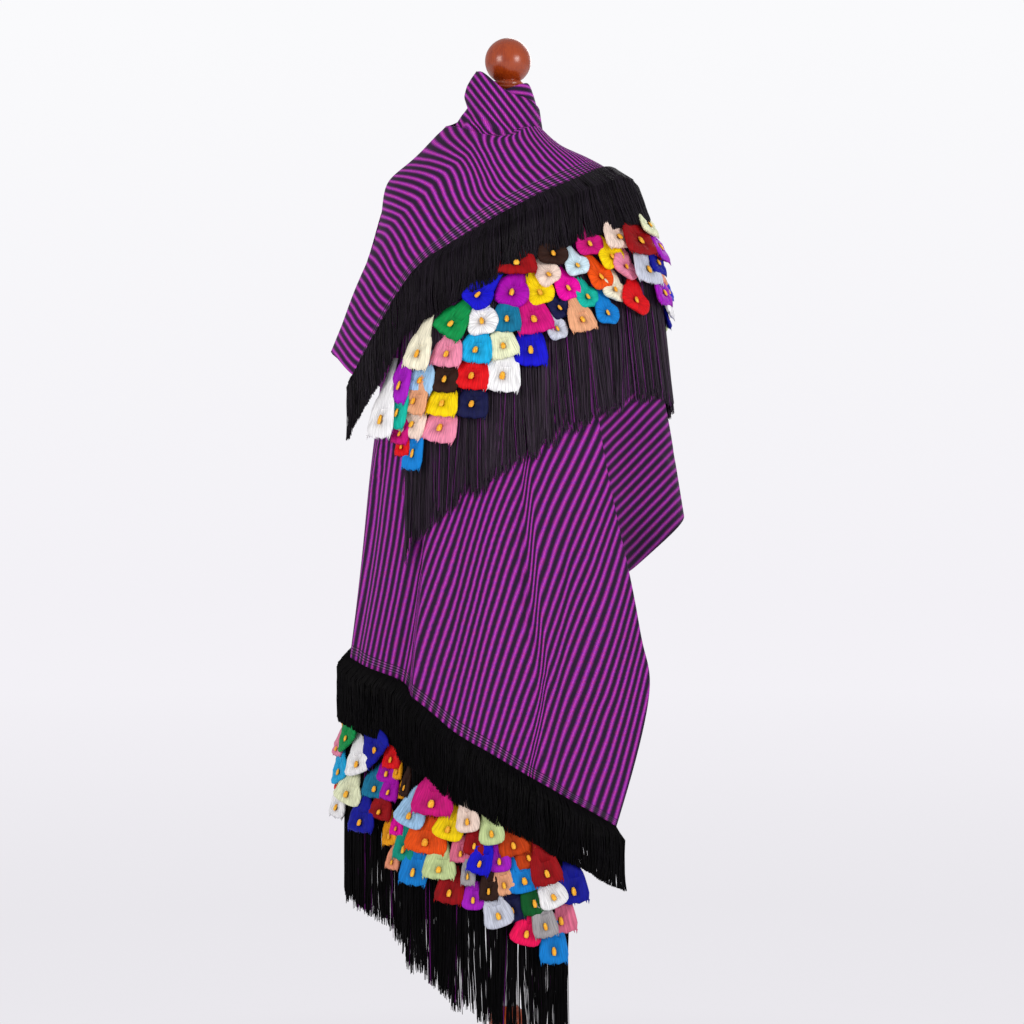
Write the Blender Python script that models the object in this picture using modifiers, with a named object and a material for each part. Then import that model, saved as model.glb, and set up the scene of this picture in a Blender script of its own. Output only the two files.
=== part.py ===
"""A striped rebozo shawl wound on a limbless dress form, on a turned wooden stand.

Metres, +Z up. The origin is the middle of the base's underside, and the front faces -Y.
An azimuth is measured round the column from the front (-Y) toward +X, in degrees.
The rebozo is one strip: it rises from its lower end up the front, goes round the +X side and
across the back, comes over the -X shoulder, and ends across the chest.
"""

import math
from collections import namedtuple

import bpy
import numpy as np
from mathutils import Vector
from mathutils.bvhtree import BVHTree

# ---- Cloth ---------------------------------------------------------------------------------
WALL = 0.0016
CLOTH_TO_FORM = 0.0045  # least level gap between the form and a wall's outside, wall included

# ---- Stand ---------------------------------------------------------------------------------
JOINT_GAP = 0.0003  # between the stand's touching pieces
BASE_RADIUS, BASE_HEIGHT = 0.190, 0.034
COLUMN_TOP = 0.258
POLE_RADIUS = 0.0125
FORM_BOTTOM, FORM_TOP = 0.785, 1.582
CAP_RADIUS, CAP_HEIGHT = 0.0300, 0.0066
FINIAL_FOOT_RADIUS, FINIAL_FOOT_HEIGHT = 0.0232, 0.0078
BALL_RADIUS, FINIAL_TOP = 0.0334, 1.660

# ---- Fringe (each end of the strip) --------------------------------------------------------
BACKING_HEIGHT, BACKING_LAP = 0.008, 0.004  # a backing laps the cloth's end from outside
SHORT_FRINGE_LENGTH = 0.082
LONG_FRINGE_LENGTH = 0.365
FLOWER_ROWS_DROP = (0.106, 0.144, 0.182, 0.220)  # middle of each row, below the cloth's end
# At each end the long fringe and the flowers stop short of the lower selvedge (azimuths).
HEM_LONG_SPAN, HEM_FLOWER_SPAN = (-112, 24), (-113, 30)
END_LONG_SPAN, END_FLOWER_SPAN = (-46, 116), (-57, 117)
FLOWER_HEIGHT, FLOWER_WIDTH = 0.038, 0.029
WIDEST_LOCK = 0.78  # as a share of the room between the locks' middles
SWAY = 0.0012

# A section of cloth: how far it is along its stretch, and a place (azimuth, radius, height)
# for each column of ACROSS, from the lower selvedge to the upper one.
Section = namedtuple("Section", "along places")

FRONT_ACROSS = (0.0, 0.2, 0.4, 0.6, 0.8, 1.0)
FRONT_FALL = (
    Section(0.00, ((48, 0.202, 0.528), (16, 0.196, 0.589), (-15, 0.202, 0.656),
                   (-46, 0.200, 0.728), (-77, 0.226, 0.758), (-115, 0.205, 0.800))),
    Section(0.20, ((51, 0.231, 0.632), (19, 0.198, 0.720), (-10, 0.196, 0.820),
                   (-41, 0.188, 0.880), (-74, 0.207, 0.925), (-112, 0.195, 0.975))),
    Section(0.38, ((52.5, 0.249, 0.730), (23, 0.197, 0.830), (-3, 0.184, 0.965),
                   (-33, 0.178, 1.030), (-66, 0.190, 1.085), (-103, 0.182, 1.140))),
    Section(0.54, ((52.5, 0.239, 0.781), (29, 0.191, 0.925), (13, 0.168, 1.050),
                   (-14, 0.156, 1.135), (-43, 0.152, 1.225), (-78, 0.172, 1.300))),
    Section(0.70, ((52, 0.228, 0.834), (37, 0.190, 1.000), (28, 0.164, 1.130),
                   (12, 0.139, 1.245), (-8, 0.112, 1.345), (-35, 0.092, 1.440))),
    Section(0.84, ((51.5, 0.217, 0.884), (43, 0.1985, 1.050), (41, 0.178, 1.180),
                   (40, 0.148, 1.300), (37, 0.102, 1.414), (30, 0.065, 1.497))),
)

# The first column of the back is the lower selvedge. Near the left shoulder the upper part of
# the strip is gathered into the collar, so the stretch ends lower across the strip there.
BACK_ACROSS = (0.0, 0.2, 0.4, 0.6, 0.8, 1.0)
BACK_SWEEP = (
    Section(0.00, ((49.5, 0.212, 0.886), (41, 0.1935, 1.050), (39, 0.173, 1.180),
                   (38, 0.143, 1.300), (36, 0.098, 1.412), (31, 0.060, 1.494))),
    Section(0.07, ((64, 0.207, 0.900), (60, 0.188, 1.060), (58, 0.180, 1.190),
                   (57, 0.164, 1.310), (54, 0.126, 1.420), (48, 0.060, 1.498))),
    Section(0.14, ((78, 0.243, 0.945), (78, 0.226, 1.060), (78, 0.210, 1.175),
                   (78, 0.198, 1.295), (77, 0.168, 1.412), (70, 0.0550, 1.506))),
    Section(0.20, ((92, 0.256, 0.968), (92, 0.238, 1.080), (92, 0.2225, 1.190),
                   (92, 0.2095, 1.310), (92, 0.171, 1.419), (92, 0.0545, 1.514))),
    Section(0.32, ((125, 0.235, 0.985), (125, 0.222, 1.090), (125, 0.210, 1.200),
                   (125, 0.196, 1.320), (124, 0.157, 1.426), (125, 0.063, 1.520))),
    Section(0.42, ((158, 0.195, 1.030), (158, 0.185, 1.130), (158, 0.175, 1.235),
                   (158, 0.160, 1.345), (158, 0.127, 1.450), (158, 0.072, 1.553))),
    Section(0.52, ((192, 0.190, 1.075), (192, 0.180, 1.170), (192, 0.172, 1.270),
                   (192, 0.157, 1.370), (192, 0.125, 1.465), (192, 0.075, 1.558))),
    Section(0.63, ((228, 0.214, 1.140), (228, 0.206, 1.215), (228, 0.196, 1.305),
                   (228, 0.180, 1.395), (228, 0.148, 1.475), (228, 0.080, 1.552))),
    Section(0.72, ((254, 0.241, 1.185), (254, 0.222, 1.258), (254, 0.204, 1.336),
                   (253, 0.184, 1.418), (252, 0.149, 1.478), (250, 0.087, 1.539))),
    Section(0.78, ((269, 0.256, 1.203), (269, 0.228, 1.275), (269, 0.2015, 1.346),
                   (269, 0.1765, 1.428), (269, 0.142, 1.478), (268, 0.090, 1.533))),
)

SHOULDER_ACROSS = (0.0, 0.15, 0.30, 0.37, 0.45, 0.50, 0.55, 0.62, 0.80, 1.0)
SHOULDER_FALL = (
    Section(0.00, ((-90, 0.257, 1.205), (-90, 0.216, 1.305), (-90, 0.1835, 1.406),
                   (-90, 0.174, 1.451), (-88, 0.127, 1.494), (-70, 0.092, 1.527),
                   (-20, 0.0893, 1.509), (15, 0.0805, 1.517), (71, 0.062, 1.513),
                   (104, 0.070, 1.514))),
    Section(0.06, ((-82, 0.248, 1.194), (-74, 0.219, 1.297), (-64, 0.176, 1.389),
                   (-58, 0.159, 1.430), (-40, 0.117, 1.466), (-28, 0.106, 1.478),
                   (-15, 0.099, 1.490), (18, 0.091, 1.501), (76, 0.086, 1.497),
                   (118, 0.100, 1.499))),
    Section(0.12, ((-74, 0.239, 1.176), (-62, 0.213, 1.273), (-49, 0.169, 1.360),
                   (-39, 0.146, 1.394), (-21, 0.122, 1.424), (-9, 0.115, 1.437),
                   (5, 0.112, 1.453), (32, 0.109, 1.473), (80, 0.117, 1.484),
                   (120, 0.143, 1.468))),
    Section(0.18, ((-66, 0.231, 1.161), (-51, 0.207, 1.252), (-37, 0.169, 1.330),
                   (-23, 0.146, 1.358), (-5, 0.130, 1.387), (8, 0.125, 1.403),
                   (23, 0.123, 1.420), (49, 0.126, 1.443), (79, 0.152, 1.464),
                   (119, 0.182, 1.425))),
)

# The collar, from its outer end at the front, round the left, the back and the right, to its
# inner end behind the start.
Band = namedtuple("Band", "azimuth base_radius base_height middle_radius top_radius top_height")
COLLAR = (
    Band(20, 0.0725, 1.511, 0.0720, 0.0705, 1.530),
    Band(-4, 0.0765, 1.507, 0.0700, 0.0610, 1.576),
    Band(-38, 0.0840, 1.500, 0.0760, 0.0640, 1.603),
    Band(-65, 0.0850, 1.509, 0.0710, 0.0575, 1.597),
    Band(-90, 0.0800, 1.522, 0.0665, 0.0545, 1.586),
    Band(-135, 0.0720, 1.534, 0.0590, 0.0520, 1.590),
    Band(-180, 0.0660, 1.540, 0.0560, 0.0480, 1.594),
    Band(-225, 0.0550, 1.518, 0.0490, 0.0430, 1.588),
    Band(-270, 0.0485, 1.513, 0.0450, 0.0370, 1.577),
    Band(-310, 0.0505, 1.513, 0.0475, 0.0385, 1.590),
    Band(-340, 0.0525, 1.513, 0.0505, 0.0460, 1.586),
    Band(-368, 0.0540, 1.513, 0.0520, 0.0480, 1.578),
)

# A fold runs along a stretch. The cloth stands out by depth on the far side of its line across
# the strip and lies back by hollow on the near side, each over its width.
Fold = namedtuple("Fold", "across_first across_last depth hollow width sharpness start end")
FRONT_FOLDS = (
    Fold(0.60, 0.60, -0.009, -0.006, 0.060, 4, -0.2, 0.62),
    Fold(0.34, 0.40, 0.004, 0.004, 0.060, 2, -0.2, 0.40),
    Fold(0.18, 0.24, 0.006, 0.007, 0.060, 2.5, -0.2, 0.60),
    Fold(0.80, 0.78, 0.004, 0.004, 0.040, 3, -0.2, 0.45),
)
BACK_FOLDS = (
    Fold(0.30, 0.36, 0.007, 0.006, 0.060, 3, 0.04, 0.26),
    Fold(0.45, 0.60, 0.010, 0.007, 0.070, 3, 0.22, 0.74),
    Fold(0.15, 0.22, 0.009, 0.006, 0.060, 3, 0.28, 0.74),
)
SHOULDER_FOLDS = (
    Fold(0.22, 0.20, 0.003, 0.004, 0.050, 3, 0.02, 0.40),
)

# A ring of the dress form: height, half width, depth in front and depth behind.
Ring = namedtuple("Ring", "height half_width front back")
FORM = (
    Ring(FORM_TOP, 0.0290, 0.030, 0.034),
    Ring(1.555, 0.0340, 0.036, 0.042),
    Ring(1.530, 0.0370, 0.040, 0.048),
    Ring(1.508, 0.0460, 0.044, 0.052),
    Ring(1.488, 0.0680, 0.050, 0.056),
    Ring(1.468, 0.1060, 0.060, 0.064),
    Ring(1.445, 0.1340, 0.068, 0.072),
    Ring(1.415, 0.1540, 0.078, 0.080),
    Ring(1.370, 0.1620, 0.093, 0.090),
    Ring(1.300, 0.1560, 0.112, 0.094),
    Ring(1.220, 0.1440, 0.112, 0.086),
    Ring(1.120, 0.1260, 0.096, 0.076),
    Ring(1.060, 0.1200, 0.090, 0.074),
    Ring(0.980, 0.1360, 0.098, 0.088),
    Ring(0.900, 0.1560, 0.110, 0.106),
    Ring(0.840, 0.1620, 0.114, 0.112),
    Ring(0.800, 0.1580, 0.110, 0.108),
    Ring(FORM_BOTTOM, 0.1440, 0.098, 0.096),
)

COLLECTION = "rebozo_on_dress_form"


def clear_scene():
    for obj in list(bpy.data.objects):
        bpy.data.objects.remove(obj, do_unlink=True)


def material(name, colour, roughness, metallic=0.0):
    found = bpy.data.materials.new(name)
    found.use_nodes = True
    shader = found.node_tree.nodes["Principled BSDF"]
    shader.inputs["Base Color"].default_value = (*colour, 1.0)
    shader.inputs["Roughness"].default_value = roughness
    shader.inputs["Metallic"].default_value = metallic
    return found


def add_node(name, mesh, finish):
    obj = bpy.data.objects.new(name, mesh)
    mesh.materials.append(finish)
    bpy.data.collections[COLLECTION].objects.link(obj)
    return obj


def mesh_of(name, points, faces):
    mesh = bpy.data.meshes.new(name)
    mesh.from_pydata([tuple(point) for point in points], [], faces)
    mesh.validate()
    return mesh


# ---- Curves and surfaces -------------------------------------------------------------------
def spline(knots, values, at):
    """A natural cubic spline through values (one row for each knot), read at the given places."""
    knots, values, at = (np.asarray(item, float) for item in (knots, values, at))
    gap = np.diff(knots)
    slope = np.diff(values, axis=0) / gap.reshape(-1, *[1] * (values.ndim - 1))
    count = len(knots)
    system = np.eye(count)
    bend = np.zeros_like(values)
    for i in range(1, count - 1):
        system[i, i - 1:i + 2] = gap[i - 1], 2 * (gap[i - 1] + gap[i]), gap[i]
        bend[i] = 6 * (slope[i] - slope[i - 1])
    bend = np.linalg.solve(system, bend.reshape(count, -1)).reshape(values.shape)
    cell = np.clip(np.searchsorted(knots, at) - 1, 0, count - 2)
    shape = (-1,) + (1,) * (values.ndim - 1)
    width = gap[cell].reshape(shape)
    left = (at - knots[cell]).reshape(shape)
    right = width - left
    return (
        (bend[cell] * right**3 + bend[cell + 1] * left**3) / (6 * width)
        + (values[cell] / width - bend[cell] * width / 6) * right
        + (values[cell + 1] / width - bend[cell + 1] * width / 6) * left
    )


def cartesian(places):
    """Points from azimuths (degrees), radii and heights in the last axis."""
    azimuth = np.radians(places[..., 0])
    radius = places[..., 1]
    return np.stack([radius * np.sin(azimuth), -radius * np.cos(azimuth), places[..., 2]], -1)


def form_radius(azimuth, height):
    """The dress form's level radius at each azimuth (degrees) and height, 0 above and below it."""
    rings = FORM[::-1]
    heights = [ring.height for ring in rings]
    half_width = np.interp(height, heights, [ring.half_width for ring in rings])
    depth_front = np.interp(height, heights, [ring.front for ring in rings])
    depth_back = np.interp(height, heights, [ring.back for ring in rings])
    angle = np.radians(azimuth)
    depth = np.where(np.cos(angle) > 0, depth_front, depth_back)
    radius = 1 / np.sqrt((np.sin(angle) / half_width) ** 2 + (np.cos(angle) / depth) ** 2)
    return np.where((height > FORM_BOTTOM) & (height < FORM_TOP), radius, 0)


def fold_height(folds, across, along):
    """How far the folds move the cloth out, on a grid of rows along and columns across."""
    total = np.zeros((len(along), len(across)))
    span = max(along) or 1
    for fold in folds:
        for row, place in enumerate(along):
            line = fold.across_first + (fold.across_last - fold.across_first) * place / span
            fade = np.clip(min((place - fold.start) / 0.12, (fold.end - place) / 0.16), 0, 1)
            strength = fade * fade * (3 - 2 * fade)
            away = (np.asarray(across) - line) / fold.width
            step = np.tanh(away * fold.sharpness)
            side = np.where(away > 0, fold.depth, fold.hollow)
            total[row] += strength * side * step * np.exp(-away * away)
    return total


def drape(sections, places_across, across, along, folds):
    """A grid of points of one stretch of cloth: a row for each place along, from its sections."""
    table = np.array([section.places for section in sections], float)
    stations = [section.along for section in sections]
    rows = spline(stations, table, along)
    grid = spline(places_across, np.swapaxes(rows, 0, 1), across)
    grid = np.swapaxes(grid, 0, 1)
    grid[..., 1] += fold_height(folds, across, along)
    least = form_radius(grid[..., 0], grid[..., 2]) + CLOTH_TO_FORM
    grid[..., 1] = np.maximum(grid[..., 1], least)
    return cartesian(grid)


def grid_faces(rows, columns, flip):
    faces = []
    for i in range(rows - 1):
        for j in range(columns - 1):
            a, b = i * columns + j, i * columns + j + 1
            c, d = b + columns, a + columns
            faces.append((a, d, c, b) if flip else (a, b, c, d))
    return faces


def cloth_node(name, grid, finish, flip):
    """A wall of cloth: the grid is its outside and the wall's thickness goes inward."""
    rows, columns = grid.shape[:2]
    mesh = mesh_of(name, grid.reshape(-1, 3), grid_faces(rows, columns, flip))
    mesh.shade_smooth()
    node = add_node(name, mesh, finish)
    wall = node.modifiers.new("wall", "SOLIDIFY")
    wall.thickness = WALL
    wall.offset = -1
    return node


def tree_of(grid):
    rows, columns = grid.shape[:2]
    return BVHTree.FromPolygons(
        [Vector(point) for point in grid.reshape(-1, 3)], grid_faces(rows, columns, False)
    )


def outside_radius(trees, azimuth, height):
    """The radius of the outermost cloth at an azimuth and height, 0 where there is none."""
    angle = math.radians(azimuth)
    outward = Vector((math.sin(angle), -math.cos(angle), 0))
    far = 0.5
    start = far * outward + Vector((0, 0, height))
    found = 0
    for tree in trees:
        hit = tree.ray_cast(start, -outward, far)
        if hit[0] is not None:
            found = max(found, far - hit[3])
    return found


# ---- Fringe --------------------------------------------------------------------------------
# One comb: where its strands hang, how far outside the cloth, its root and its strands' shape.
Comb = namedtuple("Comb", "span strands offset thickness root_width shape locks")
# One ring of a strand: its drop below the cloth's end, its width and its depth.
Ringlet = namedtuple("Ringlet", "drop width depth")


class Hang:
    """Where threads hang from an end of the cloth: straight down, or taut over what bulges."""

    def __init__(self, edge, trees):
        azimuth = np.degrees(np.unwrap(np.arctan2(edge[:, 0], -edge[:, 1])))
        order = np.argsort(azimuth)
        self.edge_azimuth = azimuth[order]
        self.edge_height = edge[order, 2]
        edge_radius = np.hypot(edge[order, 0], edge[order, 1])
        self.azimuths = np.arange(self.edge_azimuth[0] - 2, self.edge_azimuth[-1] + 4, 2.0)
        self.drops = np.linspace(-BACKING_LAP, LONG_FRINGE_LENGTH, 31)
        raw = np.empty((len(self.azimuths), len(self.drops)))
        for i, angle in enumerate(self.azimuths):
            radius = np.interp(angle, self.edge_azimuth, edge_radius)
            for j, drop in enumerate(self.drops):
                raw[i, j] = max(radius, outside_radius(trees, angle, self.height(angle) - drop))
        widest = self.around(raw, 2, np.max)
        taut = np.array([self.taut(row) for row in widest])
        smooth = np.maximum(self.around(taut, 3, np.mean), widest)
        self.radii = np.array([self.taut(row) for row in smooth])

    def around(self, rows, reach, combine):
        """Each row combined with its neighbours up to so many rows away."""
        last = len(rows)
        return np.array(
            [combine(rows[max(i - reach, 0):min(i + reach + 1, last)], axis=0) for i in range(last)]
        )

    def height(self, azimuth):
        return float(np.interp(azimuth, self.edge_azimuth, self.edge_height))

    def taut(self, row):
        """The least curve over a row that never bends inward, which is how a thread lies."""
        row = np.maximum.accumulate(row)
        hull = row.copy()
        for i in range(len(row)):
            for j in range(i + 1, len(row)):
                line = np.linspace(row[i], row[j], j - i + 1)
                hull[i:j + 1] = np.maximum(hull[i:j + 1], line)
        return hull

    def radius(self, azimuth, level):
        """How far out the innermost threads hang at an azimuth and a height."""
        drop = self.height(azimuth) - level
        place = np.interp(azimuth, self.azimuths, np.arange(len(self.azimuths)))
        low = int(min(place, len(self.azimuths) - 2))
        near, far = (np.interp(drop, self.drops, self.radii[low + k]) for k in (0, 1))
        return near + (far - near) * (place - low)


def short_lock(index):
    length = SHORT_FRINGE_LENGTH * (1 - 0.10 * (index * 7 % 5) / 4)
    return Ringlet(0.45 * length, 0.0150, 0.0018), Ringlet(length, 0.0105, 0.0016)


def long_lock(index):
    length = LONG_FRINGE_LENGTH * (1 - 0.06 * (index * 5 % 7) / 6)
    places = (0.09, 0.20, 0.36, 0.70, 1.0)
    widths = (0.0115, 0.0110, 0.0105, 0.0085, 0.0040)
    return [Ringlet(length * place, width, 0.0022) for place, width in zip(places, widths)]


def flower_strand(rows, depth):
    """A thread that ends in a calla: a narrow neck, a flared fan and a round trimmed foot."""

    def shape(index):
        middle = rows[index % len(rows)] + 0.003 * ((index * 3) % 4 - 1.5)
        neck = middle - FLOWER_HEIGHT / 2
        stem = [Ringlet(drop, 0.0024, 0.0018) for drop in (0.035, 0.085) if drop < neck - 0.02]
        return stem + [
            Ringlet(neck, 0.0050, 0.5 * depth),
            Ringlet(neck + 0.72 * FLOWER_HEIGHT, FLOWER_WIDTH, depth),
            Ringlet(neck + FLOWER_HEIGHT, 0.68 * FLOWER_WIDTH, 0.6 * depth),
        ]

    return shape


def comb_node(name, comb, hang, finish):
    """A narrow backing round a cloth's end, with 4-sided strands fused to its lower side."""
    first, last = comb.span
    step = (last - first) / comb.strands
    middles = [first + (i + 0.5) * step for i in range(comb.strands)]
    bounds = [first]
    for middle in middles:
        half = math.degrees(comb.root_width / 2 / hang.radius(middle, hang.height(middle)))
        bounds += [middle - half, middle + half]
    bounds.append(last)

    points, faces = [], []
    for azimuth in bounds:
        top = hang.height(azimuth) + BACKING_LAP
        foot = top - BACKING_HEIGHT
        inner = hang.radius(azimuth, top) + comb.offset
        outer = inner + comb.thickness
        points += [(azimuth, inner, top), (azimuth, outer, top)]
        points += [(azimuth, outer, foot), (azimuth, inner, foot)]
    cells = len(bounds) - 1
    for i in range(cells):
        a, b = 4 * i, 4 * (i + 1)
        faces += [(a, a + 1, b + 1, b), (a + 1, a + 2, b + 2, b + 1), (a + 3, a, b, b + 3)]
        if i % 2 == 0:
            faces.append((a + 2, a + 3, b + 3, b + 2))
        else:
            roots = (a + 2, b + 2, b + 3, a + 3)
            hang_strand(points, faces, roots, middles[i // 2], comb, i // 2, hang)
    faces += [(3, 2, 1, 0), tuple(range(4 * cells, 4 * cells + 4))]
    mesh = mesh_of(name, cartesian(np.array(points)), faces)
    return add_node(name, mesh, finish)


def hang_strand(points, faces, ring, middle, comb, index, hang):
    """Rings of a strand below its cell of the backing."""
    for ringlet in comb.shape(index):
        level = hang.height(middle) - ringlet.drop
        reach = hang.radius(middle, level)
        pitch = math.radians((comb.span[1] - comb.span[0]) / comb.strands)
        width = min(ringlet.width, WIDEST_LOCK * reach * pitch) if comb.locks else ringlet.width
        half = math.degrees(width / 2 / reach)
        sway = math.degrees(SWAY / reach) * math.sin(2.1 * index + 9 * ringlet.drop)
        left, right = middle - half + sway, middle + half + sway
        inner = [hang.radius(side, level) for side in (left, right)]
        bow = max(reach - sum(inner) / 2 * math.cos(math.radians(half)), 0)
        near_left, near_right = (radius + comb.offset + bow for radius in inner)
        first = len(points)
        points += [
            (left, near_left + ringlet.depth, level),
            (right, near_right + ringlet.depth, level),
            (right, near_right, level),
            (left, near_left, level),
        ]
        new = tuple(range(first, first + 4))
        for k in range(4):
            after = (k + 1) % 4
            faces.append((ring[k], new[k], new[after], ring[after]))
        ring = new
    faces.append(ring[::-1])


def end_of_strip(prefix, hang, long_span, flower_span, thread, flowers):
    """The trims of one end of the strip, from the inside out."""
    short_span = (hang.edge_azimuth[0] + 1.5, hang.edge_azimuth[-1] - 1.5)
    upper_rows, lower_rows = FLOWER_ROWS_DROP[0::2], FLOWER_ROWS_DROP[1::2]
    long = Comb(long_span, 28, 0.0026, 0.0018, 0.0060, long_lock, True)
    inner = Comb(flower_span, 26, 0.0079, 0.0018, 0.0026, flower_strand(lower_rows, 0.0050), False)
    short = Comb(short_span, 26, 0.0115, 0.0018, 0.0130, short_lock, True)
    outer = Comb(flower_span, 26, 0.0175, 0.0018, 0.0026, flower_strand(upper_rows, 0.0060), False)
    comb_node(f"{prefix}_long_fringe", long, hang, thread)
    comb_node(f"{prefix}_flowers_inner", inner, hang, flowers)
    comb_node(f"{prefix}_short_fringe", short, hang, thread)
    comb_node(f"{prefix}_flowers_outer", outer, hang, flowers)


# ---- Stand ---------------------------------------------------------------------------------
def turned_node(name, profile, finish, steps):
    """A turned piece from its profile (radius, height), which runs down its outer side."""
    points = [(radius, 0, height) for radius, height in profile]
    mesh = bpy.data.meshes.new(name)
    mesh.from_pydata(points, [(i, i + 1) for i in range(len(points) - 1)], [])
    node = add_node(name, mesh, finish)
    turn = node.modifiers.new("turn", "SCREW")
    turn.steps = turn.render_steps = steps
    turn.use_merge_vertices = True
    turn.merge_threshold = 0.00005
    turn.use_smooth_shade = True
    return node


def arc(centre_radius, centre_height, size, start, end, count):
    """Points of a round stretch of a profile, between two angles above the level."""
    angles = [math.radians(start + (end - start) * i / count) for i in range(count + 1)]
    return [
        (centre_radius + size * math.cos(angle), centre_height + size * math.sin(angle))
        for angle in angles
    ]


def base_profile():
    edge = 0.008
    return (
        [(0, BASE_HEIGHT), (0.030, BASE_HEIGHT), (0.045, BASE_HEIGHT - 0.010)]
        + [(0.120, BASE_HEIGHT - 0.016)]
        + arc(BASE_RADIUS - edge, edge, edge, 90, -90, 4)
        + [(0, 0)]
    )


def column_profile():
    foot = BASE_HEIGHT + JOINT_GAP
    return (
        [(0, COLUMN_TOP), (0.0150, COLUMN_TOP)]
        + arc(0.0040, COLUMN_TOP - 0.0245, 0.0240, 60, -60, 6)
        + [(0.0150, 0.206), (0.0210, 0.198), (0.0150, 0.190)]
        + [(0.0170, 0.160), (0.0225, 0.110), (0.0240, 0.085), (0.0180, 0.066)]
        + [(0.0280, 0.056), (0.0280, foot), (0, foot)]
    )


def finial_profile():
    foot = FORM_TOP + CAP_HEIGHT + 2 * JOINT_GAP
    waist = foot + FINIAL_FOOT_HEIGHT
    return (
        arc(0, FINIAL_TOP - BALL_RADIUS, BALL_RADIUS, 90, -61, 10)
        + [(FINIAL_FOOT_RADIUS - 0.004, waist - 0.0006)]
        + [(FINIAL_FOOT_RADIUS - 0.0008, waist - 0.0024), (FINIAL_FOOT_RADIUS, waist - 0.0040)]
        + [(FINIAL_FOOT_RADIUS, foot + 0.001), (FINIAL_FOOT_RADIUS - 0.001, foot), (0, foot)]
    )


def form_node(finish):
    """The limbless form, lofted through its rings."""
    columns = 22
    points, faces = [], []
    for ring in FORM:
        for k in range(columns):
            angle = 2 * math.pi * k / columns
            depth = ring.front if math.cos(angle) > 0 else ring.back
            radius = 1 / math.hypot(math.sin(angle) / ring.half_width, math.cos(angle) / depth)
            points.append((radius * math.sin(angle), -radius * math.cos(angle), ring.height))
    for i in range(len(FORM) - 1):
        for k in range(columns):
            after = (k + 1) % columns
            faces.append((i * columns + k, (i + 1) * columns + k,
                          (i + 1) * columns + after, i * columns + after))
    faces.append(tuple(range(columns)))
    faces.append(tuple(reversed(range((len(FORM) - 1) * columns, len(FORM) * columns))))
    mesh = mesh_of("dress_form", points, faces)
    mesh.shade_smooth()
    return add_node("dress_form", mesh, finish)


def build_stand():
    wood = material("mahogany", (0.16, 0.045, 0.022), 0.30)
    cover = material("form_cover", (0.70, 0.66, 0.58), 0.85)
    steel = material("steel", (0.55, 0.55, 0.56), 0.35, 1.0)
    turned_node("stand_base", base_profile(), wood, 30)
    turned_node("stand_column", column_profile(), wood, 16)
    pole = [(0, FORM_BOTTOM - JOINT_GAP), (POLE_RADIUS, FORM_BOTTOM - JOINT_GAP),
            (POLE_RADIUS, COLUMN_TOP + JOINT_GAP), (0, COLUMN_TOP + JOINT_GAP)]
    turned_node("stand_pole", pole, steel, 14)
    form_node(cover)
    cap_foot = FORM_TOP + JOINT_GAP
    cap = [(0, cap_foot + CAP_HEIGHT)] + arc(
        CAP_RADIUS - 0.002, cap_foot + CAP_HEIGHT - 0.002, 0.002, 90, 0, 2
    ) + [(CAP_RADIUS, cap_foot), (0, cap_foot)]
    turned_node("neck_cap", cap, wood, 20)
    turned_node("finial", finial_profile(), wood, 18)


# ---- Cloth and its ends --------------------------------------------------------------------
def collar_grid(turns, levels):
    """The collar's grid: a row for each azimuth turned through, a column for each level up it."""
    stations = [-band.azimuth for band in COLLAR]
    found = spline(stations, [band[1:] for band in COLLAR], turns)
    base_radius, base_height, middle_radius, top_radius, top_height = found.T[:, :, None]
    levels = np.asarray(levels)[None, :]
    grid = np.empty((len(turns), levels.size, 3))
    grid[..., 0] = -np.asarray(turns)[:, None]
    grid[..., 1] = (
        base_radius * (1 - levels) * (1 - 2 * levels)
        + middle_radius * 4 * levels * (1 - levels)
        + top_radius * levels * (2 * levels - 1)
    )
    grid[..., 2] = base_height + (top_height - base_height) * levels
    return cartesian(grid)


def columns_of(count, folds):
    """Places across a stretch: even ones, and one on each side of a fold's line."""
    places = list(np.linspace(0, 1, count))
    for fold in folds:
        line = (fold.across_first + fold.across_last) / 2
        places += [line - 0.22 * fold.width, line + 0.22 * fold.width]
    places = sorted(places)
    kept = [places[0]]
    for place in places[1:]:
        if place - kept[-1] > 0.014:
            kept.append(place)
    kept[-1] = 1.0
    return np.array(kept)


def build_cloth():
    cloth = material("striped_cotton", (0.34, 0.05, 0.20), 0.80)
    thread = material("black_thread", (0.012, 0.011, 0.014), 0.65)
    flowers = material("flower_thread", (0.62, 0.20, 0.30), 0.55)
    front = drape(FRONT_FALL, FRONT_ACROSS, columns_of(22, FRONT_FOLDS),
                  np.linspace(0, 0.84, 17), FRONT_FOLDS)
    back = drape(BACK_SWEEP, BACK_ACROSS, columns_of(12, BACK_FOLDS),
                 np.linspace(0, 0.78, 26), BACK_FOLDS)
    shoulder = drape(SHOULDER_FALL, SHOULDER_ACROSS, columns_of(24, SHOULDER_FOLDS),
                     np.linspace(0, 0.18, 9), SHOULDER_FOLDS)
    collar = collar_grid(np.linspace(-20, 368, 30), np.linspace(0, 1, 4))
    cloth_node("front_fall", front, cloth, False)
    cloth_node("back_sweep", back, cloth, True)
    cloth_node("shoulder_fall", shoulder, cloth, True)
    cloth_node("collar_wrap", collar, cloth, False)
    hem = Hang(front[0], [tree_of(front)])
    end_of_strip("hem", hem, HEM_LONG_SPAN, HEM_FLOWER_SPAN, thread, flowers)
    end = Hang(shoulder[-1], [tree_of(front), tree_of(back), tree_of(shoulder)])
    end_of_strip("end", end, END_LONG_SPAN, END_FLOWER_SPAN, thread, flowers)


def main():
    clear_scene()
    collection = bpy.data.collections.new(COLLECTION)
    bpy.context.scene.collection.children.link(collection)
    build_stand()
    build_cloth()


main()
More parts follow.
